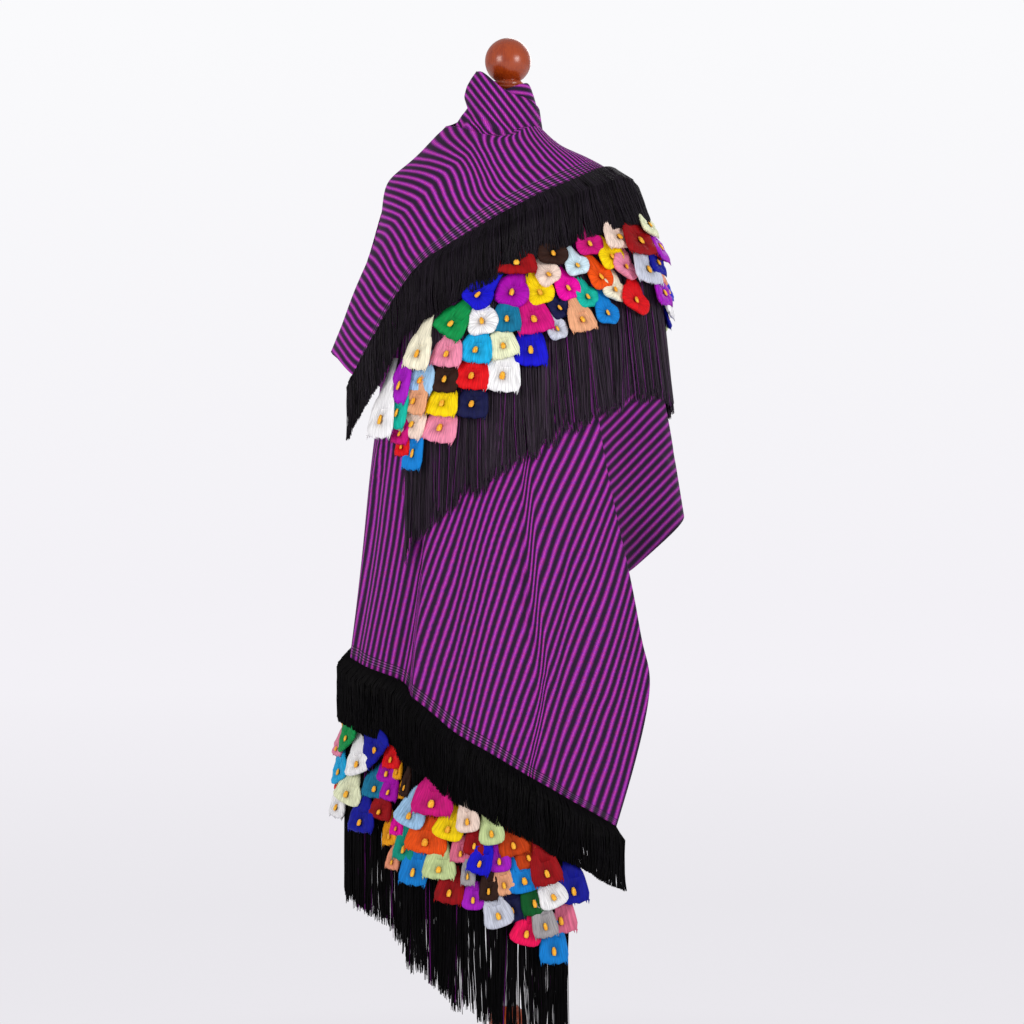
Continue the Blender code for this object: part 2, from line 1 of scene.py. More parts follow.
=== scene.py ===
import math
from collections import namedtuple

import bmesh
import bpy
import numpy as np
from mathutils import Matrix, Vector
from mathutils.bvhtree import BVHTree


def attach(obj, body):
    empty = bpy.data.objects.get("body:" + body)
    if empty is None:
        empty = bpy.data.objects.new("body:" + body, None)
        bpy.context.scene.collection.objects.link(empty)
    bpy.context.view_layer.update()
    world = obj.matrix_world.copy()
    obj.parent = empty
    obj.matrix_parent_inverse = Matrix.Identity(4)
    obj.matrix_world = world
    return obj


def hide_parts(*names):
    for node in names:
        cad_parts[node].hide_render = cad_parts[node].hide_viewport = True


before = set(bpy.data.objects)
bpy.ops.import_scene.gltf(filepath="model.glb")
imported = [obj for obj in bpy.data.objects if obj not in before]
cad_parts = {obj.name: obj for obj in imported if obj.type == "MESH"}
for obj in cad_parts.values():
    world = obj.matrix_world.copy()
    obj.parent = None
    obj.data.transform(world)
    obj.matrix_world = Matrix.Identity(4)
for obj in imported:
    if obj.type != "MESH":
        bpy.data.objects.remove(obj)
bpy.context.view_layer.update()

# ---- Studio --------------------------------------------------------------------------------
# A long lens stands four metres in front of the form, level with the middle of the cloth.
# The floor is pale and loses itself in the white of the room. Two broad soft boxes light it
# from the front and a weaker one from behind.
VIEW_WIDTH, CAMERA_DISTANCE, CAMERA_SIDE, CAMERA_HEIGHT = 1.485, 4.0, 0.0058, 0.973
VIEW_PIXELS = 1024  # places on the front view are given in these, across and down
UNIT = VIEW_WIDTH / VIEW_PIXELS  # the size of one at the form's middle


def linear(colour):
    """An sRGB hex colour as linear red, green, blue and alpha."""
    channels = [int(colour[i:i + 2], 16) / 255 for i in (1, 3, 5)]
    return [c / 12.92 if c <= 0.04045 else ((c + 0.055) / 1.055) ** 2.4 for c in channels] + [1]


def feed(tree, node, inputs):
    """Gives each named socket a value or a link; a node stands for its own first output."""
    for socket, value in inputs.items():
        if isinstance(value, bpy.types.Node):
            value = value.outputs[0]
        if isinstance(value, bpy.types.NodeSocket):
            tree.links.new(value, node.inputs[socket])
        else:
            node.inputs[socket].default_value = value


def add(tree, kind, inputs=(), **settings):
    """Adds a node: settings are its own, and inputs gives each socket a value or a link."""
    made = tree.nodes.new(kind)
    for name, value in settings.items():
        setattr(made, name, value)
    feed(tree, made, dict(inputs))
    return made


def finish(name, **sockets):
    """A new material and its tree and shader; a socket's name has _ for each space."""
    made = bpy.data.materials.new(name)
    made.use_nodes = True
    shader = made.node_tree.nodes["Principled BSDF"]
    for socket, value in sockets.items():
        shader.inputs[socket.replace("_", " ")].default_value = value
    return made, made.node_tree, shader


def linked(name, data):
    """A new object in the scene."""
    made = bpy.data.objects.new(name, data)
    scene.collection.objects.link(made)
    return made


def give(mesh, label, values):
    """An attribute of a mesh's points: a number, a vector or a colour for each."""
    values = np.array(values, float)
    kind, field = {1: ("FLOAT", "value"), 3: ("FLOAT_VECTOR", "vector"),
                   4: ("FLOAT_COLOR", "color")}[values[:1].size]
    mesh.attributes.new(label, kind, "POINT").data.foreach_set(field, values.ravel())


def meshed(name, points, edges, faces, **attributes):
    """A new object at the origin, made from its points, edges and faces and their attributes."""
    mesh = bpy.data.meshes.new(name)
    mesh.from_pydata([tuple(point) for point in points], edges, faces)
    for label, values in attributes.items():
        give(mesh, label, values)
    return linked(name, mesh)


scene = bpy.context.scene
scene.view_settings.view_transform = "Standard"
lens = bpy.data.cameras.new("camera")
lens.sensor_width = 36
lens.lens = lens.sensor_width * CAMERA_DISTANCE / VIEW_WIDTH
camera = linked("camera", lens)
camera.location = (CAMERA_SIDE, -CAMERA_DISTANCE, CAMERA_HEIGHT)
camera.rotation_euler = (math.pi / 2, 0, 0)
scene.camera = camera


def seen(points):
    """Where points show on the front view: across and down."""
    unit = UNIT * (1 + points[..., 1] / CAMERA_DISTANCE)
    return (VIEW_PIXELS / 2 + (points[..., 0] - CAMERA_SIDE) / unit,
            VIEW_PIXELS / 2 - (points[..., 2] - CAMERA_HEIGHT) / unit)


# The room is paler to the eye than to the cloth it lights, and its wall is palest high up.
WALL_WHITE, FLOOR_WHITE, FAR_FLOOR_WHITE = "#fafafc", "#eae8ee", "#f3f1f6"
room = bpy.data.worlds.new("room")
room.use_nodes = True
scene.world = room
tree = room.node_tree
sight = add(tree, "ShaderNodeLightPath").outputs["Is Camera Ray"]
strength = add(tree, "ShaderNodeMapRange", {"Value": sight, "To Min": 0.52, "To Max": 1.0})
height = add(tree, "ShaderNodeSeparateXYZ",
             {0: add(tree, "ShaderNodeTexCoord").outputs["Generated"]}).outputs["Z"]
rise = add(tree, "ShaderNodeMapRange", {"Value": height, "From Min": -0.03, "From Max": 0.17})
paper = add(tree, "ShaderNodeMix", {0: rise, 6: linear(FAR_FLOOR_WHITE), 7: linear(WALL_WHITE)},
            data_type="RGBA")
feed(tree, tree.nodes["Background"], {"Color": paper.outputs[2], "Strength": strength})

for name, place, size, power, colour in (
    ("left", (-2.9, -3.0, 2.0), 1.5, 64, "#fffaf5"),
    ("right", (3.0, -2.9, 2.0), 1.5, 69, "#fffdfa"),
    ("behind", (0.8, 2.6, 2.6), 1.6, 26, "#ffffff"),
):
    lamp = bpy.data.lights.new(name, "AREA")
    lamp.energy, lamp.size, lamp.color = power, size, linear(colour)[:3]
    box = linked(name, lamp)
    box.location = place
    box.rotation_euler = (Vector((0, 0, 1.0)) - Vector(place)).to_track_quat("-Z", "Y").to_euler()

FLOOR_RADIUS, FLOOR_SIDES = 14.0, 96
FLOOR_FADE = (0.5, 1.5)  # beyond this far from the stand it takes no shadow
edge = [(FLOOR_RADIUS * math.cos(2 * math.pi * k / FLOOR_SIDES),
         FLOOR_RADIUS * math.sin(2 * math.pi * k / FLOOR_SIDES), 0) for k in range(FLOOR_SIDES)]
floor = meshed("floor", edge, [], [tuple(range(FLOOR_SIDES))])
# Matt white paint, lit near the stand and glowing evenly far off, where it meets the wall.
painted, tree, shader = finish("painted_floor", Base_Color=linear(FLOOR_WHITE), Roughness=0.9)
away = add(tree, "ShaderNodeVectorMath",
           {0: add(tree, "ShaderNodeTexCoord").outputs["Object"]},
           operation="LENGTH").outputs["Value"]
fade = add(tree, "ShaderNodeMapRange", {
    "Value": away, "From Min": FLOOR_FADE[0], "From Max": FLOOR_FADE[1],
}, interpolation_type="SMOOTHSTEP")
far = add(tree, "ShaderNodeMapRange", {"Value": away, "From Min": 1.2, "From Max": 11.0})
paper = add(tree, "ShaderNodeValToRGB", {"Fac": far})
paper.color_ramp.elements[0].color = linear("#eae8ed")
paper.color_ramp.elements[1].color = linear(FAR_FLOOR_WHITE)
for stop, colour in ((0.17, "#e9e7ec"), (0.55, "#efedf2")):
    paper.color_ramp.elements.new(stop).color = linear(colour)
glow = add(tree, "ShaderNodeEmission", {"Color": paper})
both = add(tree, "ShaderNodeMixShader", {0: fade, 1: shader, 2: glow})
feed(tree, tree.nodes["Material Output"], {"Surface": both})
floor.data.materials.append(painted)

# ---- Turned wood: base, column, neck cap and ball finial -----------------------------------
# Each is turned from mahogany on a lathe, stained and varnished, and stacked on the pole. The
# varnish is thick and gives long soft highlights over the dark red grain.
JOINT_GAP = 0.0003
BASE_RADIUS, BASE_HEIGHT = 0.190, 0.034
COLUMN_TOP = 0.258
POLE_RADIUS = 0.0125
FORM_BOTTOM, FORM_TOP = 0.785, 1.582
CAP_RADIUS, CAP_HEIGHT = 0.0300, 0.0066
FINIAL_FOOT_RADIUS = 0.0232
BALL_RADIUS, FINIAL_TOP = 0.0334, 1.660


def mesh_piece(name, points, faces, material):
    """A smooth piece of one material."""
    piece = meshed(name, points, [], faces)
    piece.data.shade_smooth()
    piece.data.materials.append(material)
    return piece


def dress(piece, slot, *nodes):
    """The piece replaces the frame's nodes and rides the body; slot is not used."""
    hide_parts(*nodes)
    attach(piece, "root")


def arc(centre_radius, centre_height, size, start, end, count):
    """Points of a round stretch of a profile, between two angles above the level."""
    angles = [math.radians(start + (end - start) * i / count) for i in range(count + 1)]
    return [(centre_radius + size * math.cos(angle), centre_height + size * math.sin(angle))
            for angle in angles]


def turned(name, profile, material, steps=96):
    """A turned piece from its profile (radius, height), which runs down its outer side."""
    points, rings, faces = [], [], []
    for radius, height in profile:
        first = len(points)
        if radius == 0:
            points.append((0, 0, height))
            rings.append([first] * steps)
        else:
            for k in range(steps):
                angle = 2 * math.pi * k / steps
                points.append((radius * math.cos(angle), radius * math.sin(angle), height))
            rings.append(list(range(first, first + steps)))
    for upper, lower in zip(rings, rings[1:]):
        for k in range(steps):
            after = (k + 1) % steps
            corners = (upper[k], lower[k], lower[after], upper[after])
            faces.append(tuple(dict.fromkeys(corners)))
    return mesh_piece(name, points, faces, material)


def rounded(profile, radius=0.0012):
    """The same profile with each sharp corner eased by three points, as sandpaper leaves it."""
    eased = [profile[0]]
    for before, corner, after in zip(profile, profile[1:], profile[2:]):
        before, corner, after = (Vector(place) for place in (before, corner, after))
        inward, outward = before - corner, after - corner
        if inward.length > 3 * radius and outward.length > 3 * radius:
            eased += [tuple(corner + radius * inward.normalized()),
                      tuple(corner + 0.18 * radius * (inward.normalized() + outward.normalized())),
                      tuple(corner + radius * outward.normalized())]
        else:
            eased.append(tuple(corner))
    return eased + [profile[-1]]


# Mahogany: open straight grain with darker pores a few millimetres long, under a clear coat
# that is rubbed down to a satin on the base.
GRAIN_WIDTH = 0.004
mahogany, tree, shader = finish("varnished_mahogany", Roughness=0.38, Coat_Weight=1.0,
                                Coat_Roughness=0.27, Coat_IOR=1.60, Specular_IOR_Level=0.0)
place = add(tree, "ShaderNodeTexCoord").outputs["Object"]
along_grain = add(tree, "ShaderNodeMapping", {"Vector": place, "Scale": (1, 1, 0.12)})
figure = add(tree, "ShaderNodeTexNoise", {
    "Vector": along_grain, "Scale": 1 / (6 * GRAIN_WIDTH), "Detail": 5, "Distortion": 1.2,
})
pores = add(tree, "ShaderNodeTexNoise", {"Vector": along_grain, "Scale": 2 / GRAIN_WIDTH,
                                         "Detail": 2})
grain = add(tree, "ShaderNodeMath", {0: pores, 1: pores, 2: figure}, operation="MULTIPLY_ADD")
tint = add(tree, "ShaderNodeValToRGB", {"Fac": grain})
for stop, colour in ((0.36, "#772706"), (0.60, "#953408"), (0.88, "#a6410e")):
    element = tint.color_ramp.elements.new(stop)
    element.color = linear(colour)
tint.color_ramp.elements.remove(tint.color_ramp.elements[0])
tint.color_ramp.elements.remove(tint.color_ramp.elements[-1])
relief = add(tree, "ShaderNodeBump", {"Height": pores, "Strength": 0.06, "Distance": 0.0004})
level = add(tree, "ShaderNodeSeparateXYZ", {"Vector": place}).outputs["Z"]
rubbed = add(tree, "ShaderNodeMapRange", {"Value": level, "From Min": 0.045, "From Max": 0.075,
                                          "To Min": 0.22, "To Max": 1.0})
feed(tree, shader, {"Base Color": tint, "Normal": relief, "Coat Weight": rubbed})

rim = 0.008
foot = BASE_HEIGHT + JOINT_GAP
base = turned("turned_base", rounded(
    [(0, BASE_HEIGHT), (0.030, BASE_HEIGHT), (0.045, BASE_HEIGHT - 0.010)]
    + [(0.120, BASE_HEIGHT - 0.016)]
    + arc(BASE_RADIUS - rim, rim, rim, 90, -90, 16) + [(0, 0)]
), mahogany, 160)
column = turned("turned_column", rounded(
    [(0, COLUMN_TOP), (0.0150, COLUMN_TOP)]
    + arc(0.0040, COLUMN_TOP - 0.0245, 0.0240, 60, -60, 22)
    + [(0.0150, 0.206)] + arc(0.0150, 0.198, 0.0062, 80, -80, 10) + [(0.0150, 0.190)]
    + [(0.0155, 0.175), (0.0170, 0.160), (0.0200, 0.136), (0.0225, 0.110), (0.0236, 0.096)]
    + [(0.0240, 0.085), (0.0225, 0.075), (0.0180, 0.066)]
    + [(0.0280, 0.056), (0.0280, foot), (0, foot)]
), mahogany)
cap_foot = FORM_TOP + JOINT_GAP
cap = turned("neck_cap_disc", [(0, cap_foot + CAP_HEIGHT)] + arc(
    CAP_RADIUS - 0.002, cap_foot + CAP_HEIGHT - 0.002, 0.002, 90, 0, 6
) + [(CAP_RADIUS, cap_foot), (0, cap_foot)], mahogany)
foot = FORM_TOP + CAP_HEIGHT + 2 * JOINT_GAP
finial = turned("ball_finial", [(0, FINIAL_TOP)]
                + arc(0, FINIAL_TOP - BALL_RADIUS, BALL_RADIUS, 88, -61, 40)
                + arc(FINIAL_FOOT_RADIUS - 0.004, foot + 0.0040, 0.0038, 80, 0, 6)
                + [(FINIAL_FOOT_RADIUS, foot + 0.001), (FINIAL_FOOT_RADIUS - 0.001, foot),
                   (0, foot)], mahogany)
for piece, node in ((base, "stand_base"), (column, "stand_column"), (cap, "neck_cap"),
                    (finial, "finial")):
    dress(piece, "mahogany", node)

# ---- Pole ----------------------------------------------------------------------------------
# A drawn steel tube joins the column to the form. It is brushed along its length, which
# stretches its highlights into a narrow vertical line.
brushed, tree, shader = finish("drawn_steel", Metallic=1.0, Roughness=0.32,
                               Base_Color=linear("#b9b9bc"))
place = add(tree, "ShaderNodeTexCoord").outputs["Object"]
stretched = add(tree, "ShaderNodeMapping", {"Vector": place, "Scale": (1, 1, 0.01)})
brush = add(tree, "ShaderNodeTexNoise", {"Vector": stretched, "Scale": 1600})
relief = add(tree, "ShaderNodeBump", {"Height": brush, "Strength": 0.12, "Distance": 0.0002})
feed(tree, shader, {"Normal": relief})
pole_ends = (FORM_BOTTOM - JOINT_GAP, COLUMN_TOP + JOINT_GAP)
pole = turned("steel_pole", rounded([(0, pole_ends[0]), (POLE_RADIUS, pole_ends[0]),
                                     (POLE_RADIUS, pole_ends[1]), (0, pole_ends[1])], 0.0006),
              brushed, 64)
dress(pole, "steel", "stand_pole")

# ---- Dress form ----------------------------------------------------------------------------
# A limbless padded torso under a tight cream cotton cover, sewn from eight panels whose seams
# run from the neck to the hips. Its foot is closed with a flat panel.
Ring = namedtuple("Ring", "height half_width front back")
FORM = (
    Ring(FORM_TOP, 0.0290, 0.030, 0.034),
    Ring(1.555, 0.0340, 0.036, 0.042),
    Ring(1.530, 0.0370, 0.040, 0.048),
    Ring(1.508, 0.0460, 0.044, 0.052),
    Ring(1.488, 0.0680, 0.050, 0.056),
    Ring(1.468, 0.1060, 0.060, 0.064),
    Ring(1.445, 0.1340, 0.068, 0.072),
    Ring(1.415, 0.1540, 0.078, 0.080),
    Ring(1.370, 0.1620, 0.093, 0.090),
    Ring(1.300, 0.1560, 0.112, 0.094),
    Ring(1.220, 0.1440, 0.112, 0.086),
    Ring(1.120, 0.1260, 0.096, 0.076),
    Ring(1.060, 0.1200, 0.090, 0.074),
    Ring(0.980, 0.1360, 0.098, 0.088),
    Ring(0.900, 0.1560, 0.110, 0.106),
    Ring(0.840, 0.1620, 0.114, 0.112),
    Ring(0.800, 0.1580, 0.110, 0.108),
    Ring(FORM_BOTTOM, 0.1440, 0.098, 0.096),
)
SEAM_AZIMUTHS = (0, 38, 90, 142, 180, 218, 270, 322)
SEAM_DEPTH, SEAM_WIDTH = 0.0009, 0.0022


def form_radius(azimuth, height):
    """The dress form's level radius at each azimuth (degrees) and height, 0 off its ends."""
    heights, *outlines = zip(*FORM[::-1])
    half_width, front, back = (np.interp(height, heights, outline) for outline in outlines)
    angle = np.radians(azimuth)
    depth = np.where(np.cos(angle) > 0, front, back)
    radius = 1 / np.sqrt((np.sin(angle) / half_width) ** 2 + (np.cos(angle) / depth) ** 2)
    return np.where((height > FORM_BOTTOM) & (height < FORM_TOP), radius, 0)


def cartesian(places):
    """Points from azimuths (degrees), radii and heights in the last axis."""
    azimuth = np.radians(places[..., 0])
    radius = places[..., 1]
    return np.stack([radius * np.sin(azimuth), -radius * np.cos(azimuth), places[..., 2]], -1)


def heading(points):
    """The azimuths of points, in radians."""
    return np.arctan2(points[..., 0], -points[..., 1])


def grid_faces(rows, columns, flip=False, closed=False):
    """Four-sided faces between a grid's points, the other way up if flip is set."""
    faces = []
    for i in range(rows - 1):
        for j in range(columns if closed else columns - 1):
            after = (j + 1) % columns
            a, b = i * columns + j, i * columns + after
            c, d = b + columns, a + columns
            faces.append((a, d, c, b) if flip else (a, b, c, d))
    return faces


def tube_faces(first, rings, count, flip=False):
    """Faces of a closed tube with flat ends, whose rings of points start at first."""
    ends = [tuple(range(count))[::-1], tuple(range((rings - 1) * count, rings * count))]
    if flip:
        ends = [end[::-1] for end in ends]
    return [tuple(first + corner for corner in face)
            for face in grid_faces(rings, count, flip, True) + ends]


# Cotton cover: a plain weave drawn three times as coarse as the real 0.4 mm thread, to show.
cover, tree, shader = finish("cotton_cover", Roughness=0.9, Sheen_Weight=0.2)
place = add(tree, "ShaderNodeTexCoord").outputs["Object"]
weave = add(tree, "ShaderNodeTexNoise", {"Vector": place, "Scale": 900, "Detail": 2})
patch = add(tree, "ShaderNodeTexNoise", {"Vector": place, "Scale": 9, "Detail": 3})
tint = add(tree, "ShaderNodeMix", {0: patch, 6: linear("#cfc6b4"), 7: linear("#e0d8c8")},
           data_type="RGBA")
relief = add(tree, "ShaderNodeBump", {"Height": weave, "Strength": 0.35, "Distance": 0.0006})
feed(tree, shader, {"Base Color": tint.outputs[2], "Normal": relief})

form_azimuths = np.unique(np.concatenate(
    [np.arange(0, 360, 3.0)] + [np.arange(-1.5, 1.6, 0.5) + seam for seam in SEAM_AZIMUTHS]
) % 360)
knots = np.linspace(0, len(FORM) - 1, 120)
form_heights = np.interp(knots, range(len(FORM)), [ring.height for ring in FORM])
form_heights[0], form_heights[-1] = FORM_TOP - 1e-5, FORM_BOTTOM + 1e-5
grid = np.empty((len(form_heights), len(form_azimuths), 3))
grid[..., 0] = form_azimuths[None, :]
grid[..., 2] = form_heights[:, None]
grid[..., 1] = form_radius(grid[..., 0], grid[..., 2])
spread = np.array([0.25, 0.5, 0.25])
for _ in range(3):
    grid[2:-2, :, 1] = sum(w * grid[1 + k:-3 + k, :, 1] for k, w in enumerate(spread))
for seam in SEAM_AZIMUTHS:
    turn = np.radians((grid[..., 0] - seam + 180) % 360 - 180)
    near = np.exp(-(turn * grid[..., 1] / SEAM_WIDTH) ** 2)
    grid[..., 1] -= SEAM_DEPTH * near
torso = mesh_piece("padded_form", cartesian(grid).reshape(-1, 3),
                   tube_faces(0, *grid.shape[:2], True), cover)
dress(torso, "form_cover", "dress_form")

# ---- Rebozo cloth --------------------------------------------------------------------------
# One strip of cotton, 0.70 m wide, woven on a backstrap loom with purple and black warp
# stripes along its length. It rises up the front, goes round the back, crosses the shoulder
# and is gathered round the neck. Each stretch is draped through its sections.
STRIP_WIDTH = 0.70
CLOTH_TO_FORM = 0.0045
CLOTH_THICKNESS = 0.0012
# A section lies so far along its stretch, in metres. Its places are (azimuth in degrees,
# radius, height), across the strip from the lower selvedge at the shares given for the stretch.
Section = namedtuple("Section", "along places")

FRONT_ACROSS = (0.0, 0.2, 0.4, 0.6, 0.8, 1.0)
FRONT_LENGTH = 0.84
FRONT_FALL = (
    Section(0.00, ((48, 0.202, 0.528), (16, 0.196, 0.589), (-15, 0.202, 0.656),
                   (-46, 0.200, 0.728), (-77, 0.226, 0.758), (-115, 0.205, 0.800))),
    Section(0.20, ((51, 0.231, 0.632), (19, 0.198, 0.720), (-10, 0.196, 0.820),
                   (-41, 0.188, 0.880), (-74, 0.207, 0.925), (-112, 0.195, 0.975))),
    Section(0.38, ((52.5, 0.249, 0.730), (23, 0.197, 0.830), (-3, 0.184, 0.965),
                   (-33, 0.178, 1.030), (-66, 0.190, 1.085), (-103, 0.182, 1.140))),
    Section(0.54, ((52.5, 0.239, 0.781), (29, 0.191, 0.925), (13, 0.168, 1.050),
                   (-14, 0.156, 1.135), (-43, 0.152, 1.225), (-78, 0.172, 1.300))),
    Section(0.70, ((52, 0.228, 0.834), (37, 0.190, 1.000), (28, 0.164, 1.130),
                   (12, 0.139, 1.245), (-8, 0.112, 1.345), (-35, 0.092, 1.440))),
    Section(0.84, ((51.5, 0.217, 0.884), (43, 0.1985, 1.050), (41, 0.178, 1.180),
                   (40, 0.148, 1.300), (37, 0.102, 1.414), (30, 0.065, 1.497))),
)
BACK_ACROSS = (0.0, 0.2, 0.4, 0.6, 0.8, 1.0)
BACK_LENGTH = 0.78
BACK_SWEEP = (
    Section(0.00, ((49.5, 0.212, 0.886), (41, 0.1935, 1.050), (39, 0.173, 1.180),
                   (38, 0.143, 1.300), (36, 0.098, 1.412), (31, 0.060, 1.494))),
    Section(0.07, ((64, 0.207, 0.900), (60, 0.188, 1.060), (58, 0.180, 1.190),
                   (57, 0.164, 1.310), (54, 0.126, 1.420), (48, 0.060, 1.498))),
    Section(0.14, ((78, 0.243, 0.945), (78, 0.226, 1.060), (78, 0.210, 1.175),
                   (78, 0.198, 1.295), (77, 0.168, 1.412), (70, 0.0550, 1.506))),
    Section(0.20, ((92, 0.256, 0.968), (92, 0.238, 1.080), (92, 0.2225, 1.190),
                   (92, 0.2095, 1.310), (92, 0.171, 1.419), (92, 0.0545, 1.514))),
    Section(0.32, ((125, 0.235, 0.985), (125, 0.222, 1.090), (125, 0.210, 1.200),
                   (125, 0.196, 1.320), (124, 0.157, 1.426), (125, 0.063, 1.520))),
    Section(0.42, ((158, 0.195, 1.030), (158, 0.185, 1.130), (158, 0.175, 1.235),
                   (158, 0.160, 1.345), (158, 0.127, 1.450), (158, 0.072, 1.553))),
    Section(0.52, ((192, 0.190, 1.075), (192, 0.180, 1.170), (192, 0.172, 1.270),
                   (192, 0.157, 1.370), (192, 0.125, 1.465), (192, 0.075, 1.558))),
    Section(0.63, ((228, 0.214, 1.140), (228, 0.206, 1.215), (228, 0.196, 1.305),
                   (228, 0.180, 1.395), (228, 0.148, 1.475), (228, 0.080, 1.552))),
    Section(0.72, ((254, 0.241, 1.185), (254, 0.222, 1.258), (254, 0.204, 1.336),
                   (253, 0.184, 1.418), (252, 0.149, 1.478), (250, 0.087, 1.539))),
    Section(0.78, ((269, 0.256, 1.203), (269, 0.228, 1.275), (269, 0.2015, 1.346),
                   (269, 0.1765, 1.428), (269, 0.142, 1.478), (268, 0.090, 1.533))),
)
# How much of the strip's width, from the lower selvedge, each section of the back reaches
# before the rest is gathered into the collar.
BACK_REACH = (1.00, 0.96, 0.92, 0.88, 0.88, 0.80, 0.75, 0.66, 0.58, 0.53)
SHOULDER_ACROSS = (0.0, 0.15, 0.30, 0.37, 0.45, 0.50, 0.55, 0.62, 0.80, 1.0)
SHOULDER_LENGTH = 0.18
SHOULDER_FALL = (
    Section(0.00, ((-90, 0.257, 1.205), (-90, 0.216, 1.305), (-90, 0.1835, 1.406),
                   (-90, 0.174, 1.451), (-88, 0.127, 1.494), (-70, 0.092, 1.527),
                   (-20, 0.0893, 1.509), (15, 0.0805, 1.517), (71, 0.062, 1.513),
                   (104, 0.070, 1.514))),
    Section(0.06, ((-82, 0.248, 1.194), (-74, 0.219, 1.297), (-64, 0.176, 1.389),
                   (-58, 0.159, 1.430), (-40, 0.117, 1.466), (-28, 0.106, 1.478),
                   (-15, 0.099, 1.490), (18, 0.091, 1.501), (76, 0.086, 1.497),
                   (118, 0.100, 1.499))),
    Section(0.12, ((-74, 0.239, 1.176), (-62, 0.213, 1.273), (-49, 0.169, 1.360),
                   (-39, 0.146, 1.394), (-21, 0.122, 1.424), (-9, 0.115, 1.437),
                   (5, 0.112, 1.453), (32, 0.109, 1.473), (80, 0.117, 1.484),
                   (120, 0.143, 1.468))),
    Section(0.18, ((-66, 0.231, 1.161), (-51, 0.207, 1.252), (-37, 0.169, 1.330),
                   (-23, 0.146, 1.358), (-5, 0.130, 1.387), (8, 0.125, 1.403),
                   (23, 0.123, 1.420), (49, 0.126, 1.443), (79, 0.152, 1.464),
                   (119, 0.182, 1.425))),
)
Band = namedtuple("Band", "azimuth base_radius base_height middle_radius top_radius top_height")
COLLAR = (
    Band(78, 0.0530, 1.514, 0.0500, 0.0470, 1.552),
    Band(48, 0.0610, 1.512, 0.0580, 0.0535, 1.559),
    Band(20, 0.0715, 1.511, 0.0680, 0.0600, 1.567),
    Band(-4, 0.0765, 1.507, 0.0700, 0.0610, 1.576),
    Band(-38, 0.0840, 1.500, 0.0760, 0.0640, 1.603),
    Band(-65, 0.0850, 1.509, 0.0710, 0.0575, 1.597),
    Band(-90, 0.0800, 1.522, 0.0665, 0.0545, 1.586),
    Band(-135, 0.0720, 1.534, 0.0590, 0.0520, 1.590),
    Band(-180, 0.0660, 1.540, 0.0560, 0.0480, 1.594),
    Band(-225, 0.0550, 1.518, 0.0490, 0.0430, 1.588),
    Band(-270, 0.0485, 1.513, 0.0450, 0.0370, 1.577),
    Band(-310, 0.0505, 1.513, 0.0475, 0.0385, 1.590),
    Band(-340, 0.0525, 1.513, 0.0505, 0.0460, 1.586),
    Band(-368, 0.0540, 1.513, 0.0520, 0.0480, 1.578),
)
# A fold runs along a stretch. The cloth stands out by depth on the far side of its line across
# the strip and lies back by hollow on the near side, each over its width.
Fold = namedtuple("Fold", "across_first across_last depth hollow width sharpness start end")
FRONT_FOLDS = (
    Fold(0.60, 0.60, -0.009, -0.006, 0.060, 4, -0.2, 0.62),
    Fold(0.34, 0.40, 0.004, 0.004, 0.060, 2, -0.2, 0.40),
    Fold(0.18, 0.24, 0.006, 0.007, 0.060, 2.5, -0.2, 0.60),
    Fold(0.80, 0.78, 0.004, 0.004, 0.040, 3, -0.2, 0.45),
)
BACK_FOLDS = (
    Fold(0.30, 0.36, 0.007, 0.006, 0.060, 3, 0.04, 0.26),
    Fold(0.45, 0.60, 0.010, 0.007, 0.070, 3, 0.22, 0.74),
    Fold(0.15, 0.22, 0.009, 0.006, 0.060, 3, 0.28, 0.74),
)
SHOULDER_FOLDS = (
    Fold(0.22, 0.20, 0.003, 0.004, 0.050, 3, 0.02, 0.40),
)
# A crease is a soft ridge (or trough, if its height is below 0) between two places on a
# stretch, each (along, across x width) in metres.
Crease = namedtuple("Crease", "start end height width")


def spline(knots, values, at):
    """A natural cubic spline through values (one row for each knot), read at the given places."""
    knots, values, at = (np.asarray(item, float) for item in (knots, values, at))
    gap = np.diff(knots)
    slope = np.diff(values, axis=0) / gap.reshape(-1, *[1] * (values.ndim - 1))
    count = len(knots)
    system = np.eye(count)
    bend = np.zeros_like(values)
    for i in range(1, count - 1):
        system[i, i - 1:i + 2] = gap[i - 1], 2 * (gap[i - 1] + gap[i]), gap[i]
        bend[i] = 6 * (slope[i] - slope[i - 1])
    bend = np.linalg.solve(system, bend.reshape(count, -1)).reshape(values.shape)
    cell = np.clip(np.searchsorted(knots, at) - 1, 0, count - 2)
    shape = (-1,) + (1,) * (values.ndim - 1)
    width = gap[cell].reshape(shape)
    left = (at - knots[cell]).reshape(shape)
    right = width - left
    return (
        (bend[cell] * right**3 + bend[cell + 1] * left**3) / (6 * width)
        + (values[cell] / width - bend[cell] * width / 6) * right
        + (values[cell + 1] / width - bend[cell + 1] * width / 6) * left
    )


def eased(share):
    """A share held between 0 and 1 and eased in and out."""
    share = np.clip(share, 0, 1)
    return share * share * (3 - 2 * share)


def rising(value, start, end):
    """A smooth step from 0 at start to 1 at end."""
    return eased((value - start) / (end - start))


def fold_height(folds, across, along):
    """How far the folds move the cloth out, on a grid of rows along and columns across."""
    total = np.zeros((len(along), len(across)))
    span = max(along) or 1
    for fold in folds:
        for row, place in enumerate(along):
            line = fold.across_first + (fold.across_last - fold.across_first) * place / span
            strength = eased(min((place - fold.start) / 0.12, (fold.end - place) / 0.16))
            away = (np.asarray(across) - line) / fold.width
            step = np.tanh(away * fold.sharpness)
            side = np.where(away > 0, fold.depth, fold.hollow)
            total[row] += strength * side * step * np.exp(-away * away)
    return total


